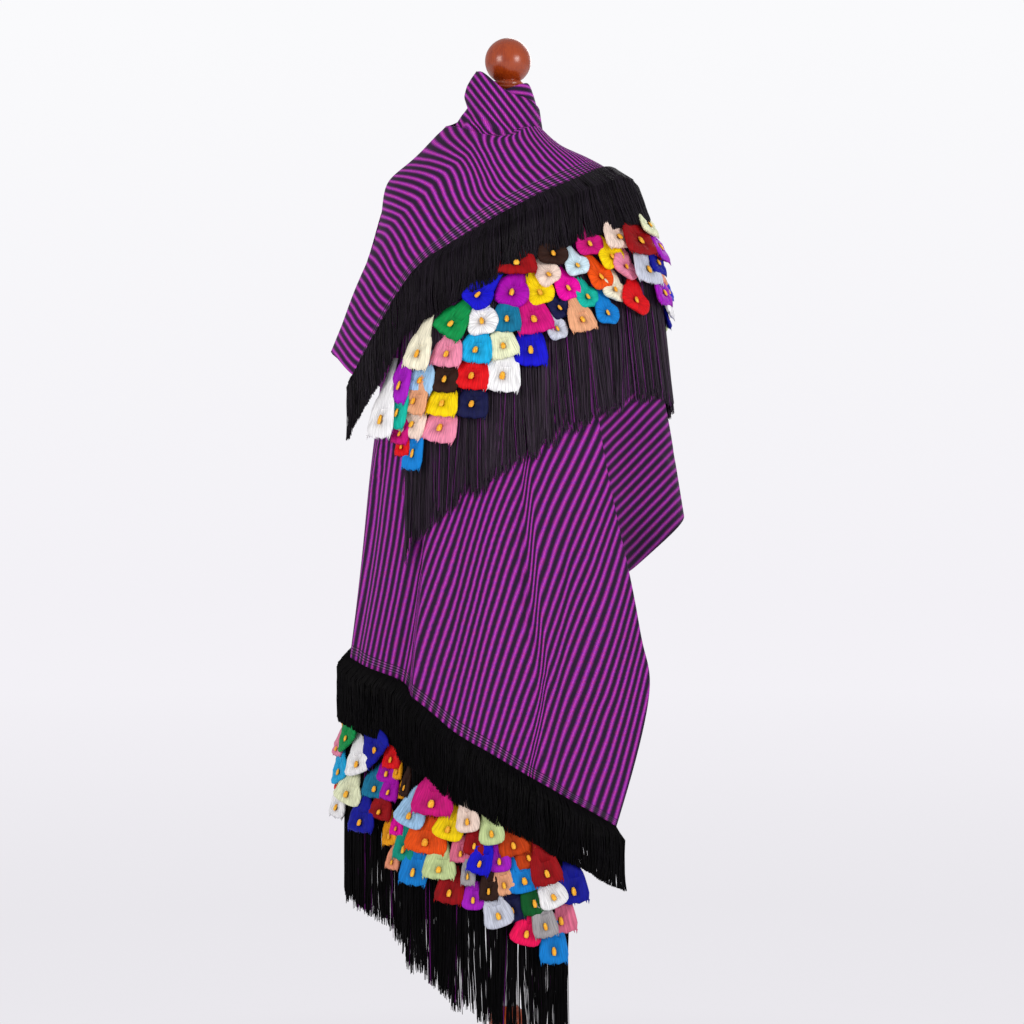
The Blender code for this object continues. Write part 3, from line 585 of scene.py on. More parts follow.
def crease_height(creases, along, across):
    """How far the creases move the cloth out, on a grid of rows along and columns across."""
    places = np.stack(np.broadcast_arrays(along[:, None], across[None, :] * STRIP_WIDTH), -1)
    total = np.zeros(places.shape[:2])
    for crease in creases:
        start, end = np.array(crease.start), np.array(crease.end)
        run = end - start
        length = math.hypot(*run)
        share = ((places - start) @ run) / length**2
        off = ((places - start) @ np.array([-run[1], run[0]])) / length
        off += 0.35 * crease.width * np.sin(share * 5.1 + 40 * crease.start[0])
        fade = eased((0.5 - np.abs(share - 0.5)) / 0.25 + 0.15)
        total += crease.height * fade * np.exp(-(off / crease.width) ** 2)
    return total


def drape(sections, places_across, across, along, folds, creases):
    """A grid of points of one stretch of cloth: a row for each place along, from its sections."""
    table = np.array([section.places for section in sections], float)
    stations = [section.along for section in sections]
    rows = spline(stations, table, along)
    grid = spline(places_across, np.swapaxes(rows, 0, 1), across)
    grid = np.swapaxes(grid, 0, 1)
    grid[..., 1] += fold_height(folds, across, along) + crease_height(creases, along, across)
    least = form_radius(grid[..., 0], grid[..., 2]) + CLOTH_TO_FORM
    grid[..., 1] = np.maximum(grid[..., 1], least)
    return cartesian(grid)


def cloth_piece(name, grid, number, place, flip, node, material, deep=0):
    """A thin shell of cloth from its grid. Each point lies number across the strip and place
    along it, both in metres, and deep is how much painted shade darkens its colour."""
    rows, columns = grid.shape[:2]
    piece = mesh_piece(name, grid.reshape(-1, 3), grid_faces(rows, columns, flip), material)
    layer = piece.data.uv_layers.new(name="strip")
    corners = np.empty(len(piece.data.loops), int)
    piece.data.loops.foreach_get("vertex_index", corners)
    strip = np.stack([number, np.broadcast_to(place, number.shape)], -1)
    layer.data.foreach_set("uv", strip.reshape(-1, 2)[corners].ravel())
    give(piece.data, "deep", np.broadcast_to(deep, (rows, columns)).ravel())
    wall = piece.modifiers.new("wall", "SOLIDIFY")
    wall.thickness = CLOTH_THICKNESS
    wall.offset = -1
    dress(piece, "striped_cotton", node)
    return piece


# Striped cotton, warp-faced plain weave: the warp's colours show as clean lengthwise stripes
# and the black weft only as fine ribs. The last rows before each end have thick dark picks.
# The map gives metres from the lower selvedge and metres from the strip's end. The real
# threads are about 0.4 mm, and are drawn three to five times as coarse so that they show.
STRIPE_PAIR, THREAD, PICK, END_PICK = 0.0112, 0.0014, 0.0021, 0.0047


def striped_cotton(name, first_pick, last_pick):
    """The cloth, with thick picks between two distances from the strip's end."""
    made, tree, shader = finish(name, Roughness=0.82, Sheen_Weight=0.06, Sheen_Roughness=0.45,
                                Specular_IOR_Level=0.16, Sheen_Tint=linear("#e9b8ea"))
    place = add(tree, "ShaderNodeTexCoord").outputs["Object"]
    strip = add(tree, "ShaderNodeSeparateXYZ", {0: add(tree, "ShaderNodeUVMap", uv_map="strip")})
    across, along = strip.outputs["X"], strip.outputs["Y"]
    wander = add(tree, "ShaderNodeTexNoise", {"Vector": place, "Scale": 30, "Detail": 2})
    wandered = add(tree, "ShaderNodeMath", {0: wander, 1: 0.0014, 2: across},
                   operation="MULTIPLY_ADD")

    # Each wave runs from 0 to 1 and back over one real size: a pair of stripes across the
    # strip, one warp thread, one weft pick, and one of the thick picks near the end.
    waves = []
    for measure, size in ((wandered, STRIPE_PAIR), (across, THREAD), (along, PICK),
                          (along, END_PICK)):
        halves = add(tree, "ShaderNodeMath", {0: measure, 1: size / 2}, operation="DIVIDE")
        waves.append(add(tree, "ShaderNodeMath", {0: halves, 1: 1.0}, operation="PINGPONG"))
    stripe, thread, pick, end_pick = waves

    stripes = add(tree, "ShaderNodeValToRGB", {"Fac": stripe})
    ramp = stripes.color_ramp
    for stop, colour in ((0.28, "#2c1733"), (0.46, "#541a58"), (0.62, "#83248a"),
                         (0.80, "#b033b0")):
        ramp.elements.new(stop).color = linear(colour)
    ramp.elements[0].color = linear("#261b30")
    ramp.elements[-1].color = linear("#cb42c2")
    # The dye differs a little from thread to thread: bluer here and redder there.
    dye = add(tree, "ShaderNodeTexNoise", {"Vector": place, "Scale": 260, "Detail": 3,
                                           "Roughness": 0.75})
    drift = add(tree, "ShaderNodeMapRange", {"Value": dye, "From Min": 0.34, "From Max": 0.66,
                                             "To Min": 0.445, "To Max": 0.555})
    dyed = add(tree, "ShaderNodeHueSaturation", {"Hue": drift, "Color": stripes})

    # The weave's crests catch the light and its hollows are dark.
    fuzz = add(tree, "ShaderNodeTexNoise", {"Vector": place, "Scale": 330, "Detail": 3,
                                            "Roughness": 0.7})
    weave = None
    for part, weight in ((thread, 0.5), (pick, 0.5), (fuzz, 0.7)):
        part = add(tree, "ShaderNodeMath", {0: part, 1: weight}, operation="MULTIPLY")
        weave = part if weave is None else add(tree, "ShaderNodeMath", {0: weave, 1: part},
                                               operation="ADD")
    shade = add(tree, "ShaderNodeMapRange", {"Value": weave, "From Min": 0.4, "From Max": 1.3,
                                             "To Min": 0.48, "To Max": 1.38})
    # Painted shade: the deep attribute darkens the colour by up to 60 %, on top of the weave's
    # painted light and shade.
    deep = add(tree, "ShaderNodeAttribute", attribute_name="deep").outputs["Fac"]
    kept = add(tree, "ShaderNodeMath", {0: deep, 1: -0.6, 2: 1.0}, operation="MULTIPLY_ADD")
    toned = add(tree, "ShaderNodeMath", {0: shade, 1: kept}, operation="MULTIPLY")
    shaded_dye = add(tree, "ShaderNodeMix", {0: 1.0, 6: dyed, 7: toned}, data_type="RGBA",
               blend_type="MULTIPLY")

    # Between the thick dark picks a pale line of ground shows.
    before = add(tree, "ShaderNodeMath", {0: along, 1: last_pick}, operation="LESS_THAN")
    beyond = add(tree, "ShaderNodeMath", {0: along, 1: first_pick}, operation="GREATER_THAN")
    band = add(tree, "ShaderNodeMath", {0: before, 1: beyond}, operation="MULTIPLY")
    shown = shaded_dye
    for test, limit, strength, colour in (("LESS_THAN", 0.30, 0.20, "#8d7f93"),
                                          ("GREATER_THAN", 0.60, 0.85, "#1b1420")):
        line = add(tree, "ShaderNodeMath", {0: end_pick, 1: limit}, operation=test)
        line = add(tree, "ShaderNodeMath", {0: band, 1: line}, operation="MULTIPLY")
        line = add(tree, "ShaderNodeMath", {0: line, 1: strength}, operation="MULTIPLY")
        shown = add(tree, "ShaderNodeMix", {0: line, 6: shown.outputs[2], 7: linear(colour)},
                    data_type="RGBA")
    relief = add(tree, "ShaderNodeBump", {"Height": weave, "Strength": 0.35, "Distance": 0.0005})
    feed(tree, shader, {"Base Color": shown.outputs[2], "Normal": relief})
    return made


cotton = striped_cotton("striped_cotton", 0.0, 0.029)
hem_cotton = striped_cotton("striped_cotton_hem", 0.0115, 0.0270)


def followed_down(x, y, lean, hem_x, hem_y):
    """Where the threads through places on the front view come down to the hem, found in short
    steps of 4 units at most."""
    for _ in range(170):
        step = np.clip(np.interp(x, hem_x, hem_y) - y, 0, 4)
        x = x - step / np.tan(np.radians(lean(x, y)))
        y = y + step
    return x


def front_lean(x, y):
    """How steeply the threads right of the deep fold lean, in degrees above the level."""
    lean = np.interp(x, (412, 440, 480, 520, 545, 560, 600, 640),
                     (73, 72, 75.5, 70.5, 72, 69, 70.5, 76.5))
    return lean - 5 * rising(-y, -560, -480)


FRONT_CREASES = (
    Crease((0.00, 0.16), (0.52, 0.22), 0.0028, 0.012),
    Crease((0.05, 0.32), (0.46, 0.36), -0.0026, 0.014),
    Crease((0.00, 0.47), (0.34, 0.45), 0.0018, 0.010),
    Crease((0.02, 0.08), (0.30, 0.05), -0.0030, 0.016),
    Crease((-0.05, 0.168), (0.26, 0.160), -0.0050, 0.009),
    Crease((0.16, 0.160), (0.56, 0.300), -0.0060, 0.010),
    Crease((-0.05, 0.140), (0.50, 0.200), 0.0040, 0.012),
    Crease((-0.05, 0.405), (0.27, 0.428), -0.0055, 0.008),
    Crease((0.20, 0.424), (0.50, 0.510), -0.0060, 0.008),
)
across = np.linspace(0, 1, 161)
along = np.linspace(0, FRONT_LENGTH, 161)
front = drape(FRONT_FALL, FRONT_ACROSS, across, along, FRONT_FOLDS, FRONT_CREASES)
# The hem drops where the deep fold lets out its cloth.
drop = rising(across, 0.34, 0.47) * (1 - rising(across, 0.570, 0.600))
front[..., 2] -= 0.0085 * drop * (1 - rising(along, 0, 0.12))[:, None]
# The threads don't run straight up the drape: they lean to the right, one lean on each side of
# the deep fold, and are drawn together where a second fold takes some of them in.
smooth = drape(FRONT_FALL, FRONT_ACROSS, across, along, (), ())
azimuth = np.degrees(heading(smooth))
x, y = seen(smooth)
shown = slice(0, np.argmin(x[0]))
hem_x, hem_y = x[0, shown][::-1], y[0, shown][::-1]


def hem_thread(place):
    """Metres from the lower selvedge to a place across the hem."""
    at = np.interp(place, (351, 405, 412, 530, 615), (0.470, 0.356, 0.344, 0.128, 0))
    return at + 0.0019 * np.maximum(351 - place, 0) - 0.0016 * np.maximum(place - 615, 0)


left = hem_thread(followed_down(x, y, lambda x, y: np.interp(y, (500, 600), (83, 78.5)),
                                hem_x, hem_y))
right = hem_thread(followed_down(x, y, front_lean, hem_x, hem_y))
right += 0.018 * rising(np.interp(y, (300, 480, 616, 674, 750, 770),
                                  (520, 527, 536, 543, 535, 532)) - x, -6, 6)
deep_fold = np.interp(y, (300, 440, 560, 700, 720), (412, 415, 418, 412, 411)) - x
number = right + (left + 0.060 - right) * rising(deep_fold, -3, 3)
for row, hidden in enumerate(azimuth < -62):  # and straight on, out of sight
    if hidden.any():
        first = hidden.argmax()
        number[row, first:] = (number[row, first]
                               + 0.8 * STRIP_WIDTH * (across[first:] - across[first]))
# Painted shade darkens the front a little all over.
front_piece = cloth_piece("front_cloth", front, number, along[:, None], False, "front_fall",
                          hem_cotton, 0.18)

BACK_CREASES = (
    Crease((0.10, 0.30), (0.40, 0.50), 0.0030, 0.014),
    Crease((0.30, 0.12), (0.70, 0.34), -0.0030, 0.016),
    Crease((0.42, 0.60), (0.74, 0.52), 0.0032, 0.012),
    Crease((0.06, 0.20), (0.20, 0.10), -0.0060, 0.012),
)
across = np.linspace(0, 1, 121)
along = np.linspace(0, BACK_LENGTH, 161)
back = drape(BACK_SWEEP, BACK_ACROSS, across, along, BACK_FOLDS, BACK_CREASES)
# Where the back comes round the right side its threads rise at 46 degrees, and one of the
# view's units is this much cloth across them.
BACK_RISE, BACK_UNIT = math.radians(46), 0.00150
azimuth = np.degrees(heading(back))
x, y = seen(back)
number = BACK_UNIT * ((673 - x) * math.sin(BACK_RISE) + (531 - y) * math.cos(BACK_RISE))
reach = np.interp(along, [section.along for section in BACK_SWEEP], BACK_REACH)
behind = rising(azimuth, 112, 155) + (azimuth < -60)
number += (STRIP_WIDTH * across * reach[:, None] - number) * behind
# Painted shade darkens all of the back, and most on its right side low down.
back_piece = cloth_piece("back_cloth", back, number, along[:, None] + 0.3, True, "back_sweep",
                         cotton, 0.45 + 0.55 * rising(y, 490, 560) * (azimuth > 0))

SHOULDER_CREASES = (
    Crease((0.01, 0.16), (0.16, 0.10), 0.0030, 0.010),
    Crease((0.02, 0.28), (0.17, 0.22), -0.0028, 0.010),
)
across = np.linspace(0, 1, 201)
along = np.linspace(0, SHOULDER_LENGTH, 53)
shoulder = drape(SHOULDER_FALL, SHOULDER_ACROSS, across, along, SHOULDER_FOLDS,
                 SHOULDER_CREASES)
# The threads steepen where they come over the chest's edge, along a line down to the left.
smooth = drape(SHOULDER_FALL, SHOULDER_ACROSS, across, along, (), ())
x, y = seen(smooth)
edge_line = np.interp(y, (120, 140, 154, 168, 196, 224, 252, 280, 320, 360),
                      (486, 478, 470, 452, 422, 392, 366, 345, 318, 290))
spread = np.interp(y, (155, 205), (1.0, 0.45))
number = STRIP_WIDTH * across + spread * np.interp(
    (x - edge_line) / spread, (-2, 3, 40, 85, 140), (0, 0.0017, 0.0148, 0.0265, 0.0350))
place = np.broadcast_to((SHOULDER_LENGTH - along)[:, None], number.shape)
# It runs on over the side until it meets the back's end, and a little way under it.
back_end, under = back[-1], back[-6]
nearest = [np.linalg.norm(back_end - point, axis=1).argmin() for point in shoulder[0]]
inward = np.array([0.994, 0.994, 1])
bridge = np.stack([under[nearest] * inward, back_end[nearest] * inward])
reach = np.linalg.norm(bridge - np.stack([bridge[1], shoulder[0]]), axis=-1)
far = place[0] + reach[1]
shoulder_piece = cloth_piece(
    "shoulder_cloth", np.concatenate([bridge, shoulder]),
    np.concatenate([number[[0, 0]], number]), np.concatenate([[far + reach[0], far], place]),
    True, "shoulder_fall", cotton)

# The collar is the upper part of the strip, wound once round the neck: its outer turn slants
# down over the right side, where it is tucked in, and its inner turn is level.
turns = np.linspace(-78, 368, 190)
levels = np.linspace(0, 1, 38)
found = spline([-band.azimuth for band in COLLAR], [band[1:] for band in COLLAR], turns)
base_radius, base_height, middle_radius, top_radius, top_height = found.T[:, :, None]
top_height = top_height + 0.009 * np.exp(-(np.abs(turns - 60) / 9))[:, None]
grid = np.empty((len(turns), len(levels), 3))
grid[..., 0] = -turns[:, None]
grid[..., 1] = (base_radius * (1 - levels) * (1 - 2 * levels)
                + middle_radius * 4 * levels * (1 - levels)
                + top_radius * levels * (2 * levels - 1))
grid[..., 2] = base_height + (top_height - base_height) * levels
# Its left side swells out above a pinch, its peak leans in, and its foot spreads to rest on
# the shoulder.
left_side = np.exp(-((turns - 85) / 55) ** 4)[:, None]
grid[..., 1] += left_side * np.interp(levels, (0, 0.25, 0.40, 0.52, 0.64, 0.78, 0.88, 1.0),
                                      (0, 0, -0.003, -0.0085, -0.003, 0.0035, 0, -0.0065))
foot = np.where(turns < 0, np.cos(np.radians(turns)), 1) * (1 - rising(turns, 110, 150))
grid[..., 1] += 0.009 * foot[:, None] * np.clip(1 - levels / 0.14, 0, 1) ** 2
crumple = np.exp(-((turns - 34) / 28) ** 2)[:, None] * np.exp(-((levels - 0.14) / 0.22) ** 2)
grid[..., 1] += 0.0042 * crumple * np.sin(0.22 * turns[:, None] + 19 * levels)
placed = cartesian(grid)
# On the outer turn the threads slant steeply down to the right, and on the inner they are level.
COLLAR_UNIT, COLLAR_SLANT = 0.00178, (0.79, 0.61)
x, y = seen(placed)
number = COLLAR_UNIT * (COLLAR_SLANT[0] * (x - 440) + COLLAR_SLANT[1] * (128 - y))
number += 0.0060 * crumple * np.sin(0.20 * turns[:, None] - 15 * levels)
level_threads = 0.30 + (grid[..., 2] - 1.50)
number += (level_threads - number) * rising(turns, 80, 150)[:, None]
collar_piece = cloth_piece("collar_cloth", placed, number,
                           0.5 + np.radians(turns)[:, None] * 0.06, False, "collar_wrap", cotton)

# ---- Long fringe ---------------------------------------------------------------------------
# The strip's warp ends are eked out with black rayon and hang as a long fringe from each end,
# a few threads of it purple. It hangs straight, or lies over whatever cloth stands further out.
LONG_FRINGE_LENGTH = 0.385
EDGE_LAP = 0.004  # the threads are sewn on a little above the cloth's end
AZIMUTH_STEP = 2.0  # degrees between the places where the hanging surface is found


class Hang:
    """Where threads hang from an end of the cloth: straight down, or taut over what bulges."""

    def __init__(self, edge, trees):
        azimuth = np.degrees(np.unwrap(heading(edge)))
        order = np.argsort(azimuth)
        self.edge_azimuth = azimuth[order]
        self.edge_height = edge[order, 2]
        edge_radius = np.hypot(edge[order, 0], edge[order, 1])
        self.azimuths = np.arange(self.edge_azimuth[0] - AZIMUTH_STEP,
                                  self.edge_azimuth[-1] + 2 * AZIMUTH_STEP, AZIMUTH_STEP)
        self.drops = np.linspace(-EDGE_LAP, LONG_FRINGE_LENGTH, 31)
        raw = np.empty((len(self.azimuths), len(self.drops)))
        for i, angle in enumerate(self.azimuths):
            radius = np.interp(angle, self.edge_azimuth, edge_radius)
            for j, drop in enumerate(self.drops):
                raw[i, j] = max(radius, outside_radius(trees, angle, self.height(angle) - drop))
        widest = self.around(raw, 1, np.max)
        taut = np.array([self.taut(row) for row in widest])
        smooth = np.maximum(self.around(taut, 2, np.mean), widest)
        self.radii = np.array([self.taut(row) for row in smooth])

    def around(self, rows, reach, combine):
        """Each row combined with its neighbours up to so many rows away."""
        last = len(rows)
        return np.array([combine(rows[max(i - reach, 0):min(i + reach + 1, last)], axis=0)
                         for i in range(last)])

    def height(self, azimuth):
        """The height of the cloth's end at an azimuth."""
        return np.interp(azimuth, self.edge_azimuth, self.edge_height)

    def taut(self, row):
        """The least curve over a row that never bends inward, which is how a thread lies."""
        row = np.maximum.accumulate(row)
        hull = row.copy()
        for i in range(len(row)):
            for j in range(i + 1, len(row)):
                line = np.linspace(row[i], row[j], j - i + 1)
                hull[i:j + 1] = np.maximum(hull[i:j + 1], line)
        return hull

    def radius(self, azimuth, level):
        """How far out the innermost threads hang at azimuths and heights."""
        drop = self.height(azimuth) - level
        count, steps = self.radii.shape
        place = np.clip((azimuth - self.azimuths[0]) / AZIMUTH_STEP, 0, count - 1.001)
        depth = np.clip((drop + EDGE_LAP) / (self.drops[1] - self.drops[0]), 0, steps - 1.001)
        i, j = place.astype(int), depth.astype(int)
        across, down = place - i, depth - j
        rows = self.radii
        upper = rows[i, j] * (1 - across) + rows[i + 1, j] * across
        lower = rows[i, j + 1] * (1 - across) + rows[i + 1, j + 1] * across
        return upper * (1 - down) + lower * down


def outward_at(azimuth):
    """The level direction away from the pole at an azimuth."""
    angle = math.radians(azimuth)
    return Vector((math.sin(angle), -math.cos(angle), 0))


def outside_radius(trees, azimuth, height):
    """The radius of the outermost cloth at an azimuth and height, 0 where there is none."""
    outward, far = outward_at(azimuth), 0.5
    start = far * outward + Vector((0, 0, height))
    hits = [tree.ray_cast(start, -outward, far) for tree in trees]
    return max([far - hit[3] for hit in hits if hit[0] is not None], default=0)


def tree_of(grid):
    """A stretch of cloth in the form that rays are cast at."""
    rows, columns = grid.shape[:2]
    return BVHTree.FromPolygons(
        [Vector(point) for point in grid.reshape(-1, 3)], grid_faces(rows, columns)
    )


def thread_guides(name, hang, span, count, steps, length, layer, lock, seed, ragged, stray):
    """One polyline for each thread, with its girth and shade.

    length gives each azimuth's full length, layer is how far outside the hanging surface the
    threads lie (from, to), lock is (width in degrees, how far its threads draw together),
    ragged is how unevenly they are trimmed, and stray is the share of coloured threads."""
    rng = np.random.default_rng(seed)
    fine = np.linspace(*span, 400)
    room = np.cumsum(hang.radius(fine, hang.height(fine)))
    azimuth = np.interp(np.sort(rng.uniform(room[0], room[-1], count)), room, fine)
    share = np.linspace(0, 1, steps)[None, :] ** 1.15
    number = np.floor(azimuth / lock[0])
    middle = (number + 0.5 + 0.25 * np.sin(7.3 * number)) * lock[0]
    trim = 1 - ragged * (0.5 + 0.5 * np.sin(2.7 * number) + rng.uniform(-1, 1, count))
    trim *= np.where(rng.random(count) < 2 * ragged, 0.8, 1)
    drop = share * (length(azimuth) * trim)[:, None] - EDGE_LAP * (1 - share)
    tight = np.where(np.sin(3.7 * number) > 0.3, 1, 0.25)  # only some locks draw together
    gather = lock[1] * tight[:, None] * share ** 1.3
    turn = azimuth[:, None] * (1 - gather) + middle[:, None] * gather
    level = hang.height(azimuth)[:, None] - drop
    reach = hang.radius(turn, level)
    phase = rng.uniform(0, 2 * math.pi, (count, 1))
    wave = 0.0014 * np.sin(phase + share * rng.uniform(4, 11, (count, 1)))
    wave += 0.004 * share * np.sin(0.31 * azimuth[:, None] + 5.0 * share)
    turn = turn + np.degrees(wave * share ** 0.5 / reach)
    own = rng.uniform(*layer, (count, 1))
    reach += 0.0008 + (own - 0.0008) * eased(share / 0.16)
    reach += 0.0008 * np.sin(2 * phase + 6 * share)
    points = cartesian(np.stack([turn, reach, level], -1)).reshape(-1, 3)
    edges = [(i * steps + j, i * steps + j + 1) for i in range(count) for j in range(steps - 1)]
    shade = np.repeat(rng.random(count), steps)
    coloured = np.repeat(rng.random(count) < stray, steps)
    girth = np.repeat(rng.uniform(0.8, 1.2, count), steps)
    return meshed(name, points, edges, [], shade=shade, coloured=coloured, girth=girth)


def socket(tree, name, kind, side="INPUT"):
    """A new named socket of a node group."""
    return tree.interface.new_socket(name, in_out=side, socket_type=kind)


# Threads: each polyline becomes a three-sided thread that thins toward its tip.
spinner = bpy.data.node_groups.new("thread_spinner", "GeometryNodeTree")
socket(spinner, "Guides", "NodeSocketGeometry")
socket(spinner, "Threads", "NodeSocketGeometry", "OUTPUT")
radius_socket = socket(spinner, "Radius", "NodeSocketFloat").identifier
tip_socket = socket(spinner, "Tip", "NodeSocketFloat").identifier
finish_socket = socket(spinner, "Finish", "NodeSocketMaterial").identifier
given = add(spinner, "NodeGroupInput")
girth = add(spinner, "GeometryNodeInputNamedAttribute", {"Name": "girth"}, data_type="FLOAT")
taper = add(spinner, "ShaderNodeMapRange", {
    "Value": add(spinner, "GeometryNodeSplineParameter"), "From Min": 0.35, "To Min": 1.0,
    "To Max": given.outputs["Tip"],
})
size = add(spinner, "ShaderNodeMath", {0: given.outputs["Radius"], 1: girth},
           operation="MULTIPLY")
size = add(spinner, "ShaderNodeMath", {0: size, 1: taper}, operation="MULTIPLY")
curves = add(spinner, "GeometryNodeMeshToCurve", {"Mesh": given.outputs["Guides"]})
profile = add(spinner, "GeometryNodeCurvePrimitiveCircle", {"Resolution": 3, "Radius": 1.0})
tubes = add(spinner, "GeometryNodeCurveToMesh", {
    "Curve": curves, "Profile Curve": profile, "Scale": size, "Fill Caps": True,
})
real = add(spinner, "GeometryNodeRealizeInstances", {"Geometry": tubes})
coated = add(spinner, "GeometryNodeSetMaterial", {"Geometry": real,
                                                  "Material": given.outputs["Finish"]})
add(spinner, "NodeGroupOutput", {"Threads": coated})


def made_plain(name, source, group, values, slot, *nodes):
    """The plain mesh that a node group makes from an object, riding and replacing its nodes."""
    modifier = source.modifiers.new("make", "NODES")
    modifier.node_group = group
    for identifier, value in values.items():
        modifier[identifier] = value
    graph = bpy.context.evaluated_depsgraph_get()
    mesh = bpy.data.meshes.new_from_object(source.evaluated_get(graph))
    source.modifiers.remove(modifier)
    bpy.data.objects.remove(source, do_unlink=True)
    mesh.name = name
    mesh.shade_smooth()
    piece = linked(name, mesh)
    dress(piece, slot, *nodes)
    return piece


def black_rayon(name, darkest, palest, gloss):
    """Smooth twisted thread with a low gloss, between two near blacks, and purple strays."""
    made, tree, shader = finish(name, Roughness=0.52, Specular_IOR_Level=gloss)
    shade, stray = (add(tree, "ShaderNodeAttribute", attribute_name=label).outputs["Fac"]
                    for label in ("shade", "coloured"))
    dark = add(tree, "ShaderNodeMix", {0: shade, 6: linear(darkest), 7: linear(palest)},
               data_type="RGBA")
    mixed = add(tree, "ShaderNodeMix", {0: stray, 6: dark.outputs[2], 7: linear("#6e1b76")},
                data_type="RGBA")
    twist = add(tree, "ShaderNodeTexNoise", {
        "Vector": add(tree, "ShaderNodeTexCoord").outputs["Object"], "Scale": 700,
    })
    relief = add(tree, "ShaderNodeBump", {"Height": twist, "Strength": 0.3, "Distance": 0.0003})
    feed(tree, shader, {"Base Color": mixed.outputs[2], "Normal": relief})
    return made


# One thread in three lit and shaded copies: the upper end's long fringe is palest and its short
# fringe darker, as painted light where more light falls high up, and the hem's is near black,
# as painted shade where less light falls low down.
charcoal = black_rayon("black_rayon_rubbed", "#0d070e", "#3e2d42", 0.28)
coal = black_rayon("black_rayon_worn", "#060306", "#1f1723", 0.16)
jet = black_rayon("black_rayon", "#010101", "#08060a", 0.08)

THREAD_RADIUS = 0.00085
Fringe = namedtuple("Fringe", "name hang span count steps length layer lock seed ragged stray "
                              "tip finish")
hem = Hang(front[0], [tree_of(front)])
end = Hang(shoulder[-1], [tree_of(front), tree_of(back), tree_of(shoulder)])


def fringe_piece(fringe):
    """The threads of one fringe as one piece."""
    guides = thread_guides(*fringe[:-2])
    return made_plain(fringe.name + "_threads", guides, spinner, {
        radius_socket: THREAD_RADIUS, tip_socket: fringe.tip, finish_socket: fringe.finish,
    }, "black_thread", fringe.name + "_fringe")


hem_long = fringe_piece(Fringe(
    "hem_long", hem, span=(-112.5, 25), count=2300, steps=9,
    length=lambda azimuth: np.interp(azimuth, (-60, -42), (0.338, 0.368)),
    layer=(0.0022, 0.0075), lock=(4.3, 0.10), seed=11, ragged=0.03, stray=0.02, tip=0.55,
    finish=jet))
end_long = fringe_piece(Fringe(
    "end_long", end, span=(-46, 116.5), count=2600, steps=9,
    length=lambda azimuth: np.interp(azimuth, (-40, 10, 45, 75), (0.386, 0.356, 0.328, 0.328)),
    layer=(0.0022, 0.0075), lock=(5.0, 0.05), seed=12, ragged=0.03, stray=0.06, tip=0.55,
    finish=charcoal))

# ---- Short fringe --------------------------------------------------------------------------
# A second fringe of the same thread, dense and a hand's width long, is sewn over each end and
# covers the flowers' stems.
hem_short = fringe_piece(Fringe(
    "hem_short", hem, span=(hem.edge_azimuth[0] + 0.3, hem.edge_azimuth[-1] - 0.3), count=3000,
    steps=5, length=lambda azimuth: np.full_like(azimuth, 0.086), layer=(0.0145, 0.0185),
    lock=(3.1, 0.06), seed=13, ragged=0.010, stray=0, tip=0.6, finish=jet))
end_short = fringe_piece(Fringe(
    "end_short", end, span=(end.edge_azimuth[0] + 0.3, end.edge_azimuth[-1] - 0.3), count=3200,
    steps=5, length=lambda azimuth: np.interp(azimuth, (-20, 50), (0.090, 0.080)),
    layer=(0.0145, 0.0185), lock=(3.6, 0.06), seed=14, ragged=0.010, stray=0, tip=0.6,
    finish=coal))

# ---- Flowers -------------------------------------------------------------------------------
# Rows of calla lilies hang between the two fringes. Each is a bundle of coloured embroidery
# floss, wound to a stem, spread to a funnel or a pad about 38 mm wide and trimmed, with a
# golden spadix knotted into its mouth.
FLOSS = {
    "dark red": "#9a0912", "red": "#e5121b", "blue": "#1512cf", "deep blue": "#10169c",
    "navy": "#171a48", "azure": "#0e84da", "cyan": "#18aee6", "light blue": "#a3cef2",
    "pale blue": "#d3ecf8", "teal": "#14789f", "turquoise": "#12bda8", "sea green": "#0a9882",
    "green": "#07964b", "dark green": "#075a26", "pale green": "#c9dc9c",
    "ivory green": "#eef3cc", "ivory": "#fbf5da", "cream": "#f9dfd0", "white": "#fbfbfd",
    "grey": "#a9a5a8", "silver": "#cfd4e4", "yellow": "#ffdc05", "amber": "#f6a516",
    "orange": "#f4540e", "rust": "#c4400b", "peach": "#eeac82", "salmon": "#ee9a78",
    "pink": "#f391b0", "rose": "#e0708f", "hot pink": "#fb0f5c", "bright magenta": "#ee02a6",
    "magenta": "#d00f7c", "red violet": "#ae05b0", "purple": "#ab1cc6", "brown": "#321b14",
}
# Each flower that shows: its colour, its middle across and down the front view, its width and
# height in the same unit, and how many degrees its stem leans to the left.
END_CUPS = (
    ("blue", 480, 294, 27, 29, -38), ("red violet", 512, 291, 31, 31, -12),
    ("yellow", 539, 291, 27, 27, 22), ("cream", 547, 274, 24, 22, 38),
    ("brown", 551, 253, 30, 24, 0), ("pale blue", 575, 265, 25, 21, 15),
    ("magenta", 586, 243, 29, 25, 8), ("yellow", 608, 256, 26, 24, 22),
    ("orange", 597, 276, 24, 27, 18), ("pink", 623, 266, 26, 23, -22),
    ("bright magenta", 567, 287, 25, 26, 18), ("turquoise", 587, 296, 24, 24, 14),
    ("ivory", 612, 289, 25, 24, -14), ("red", 632, 299, 28, 27, -20),
    ("navy", 559, 307, 21, 24, 26), ("white", 482, 320, 29, 30, 14),
    ("azure", 604, 312, 24, 25, 0), ("silver", 555, 328, 20, 24, 22),
)
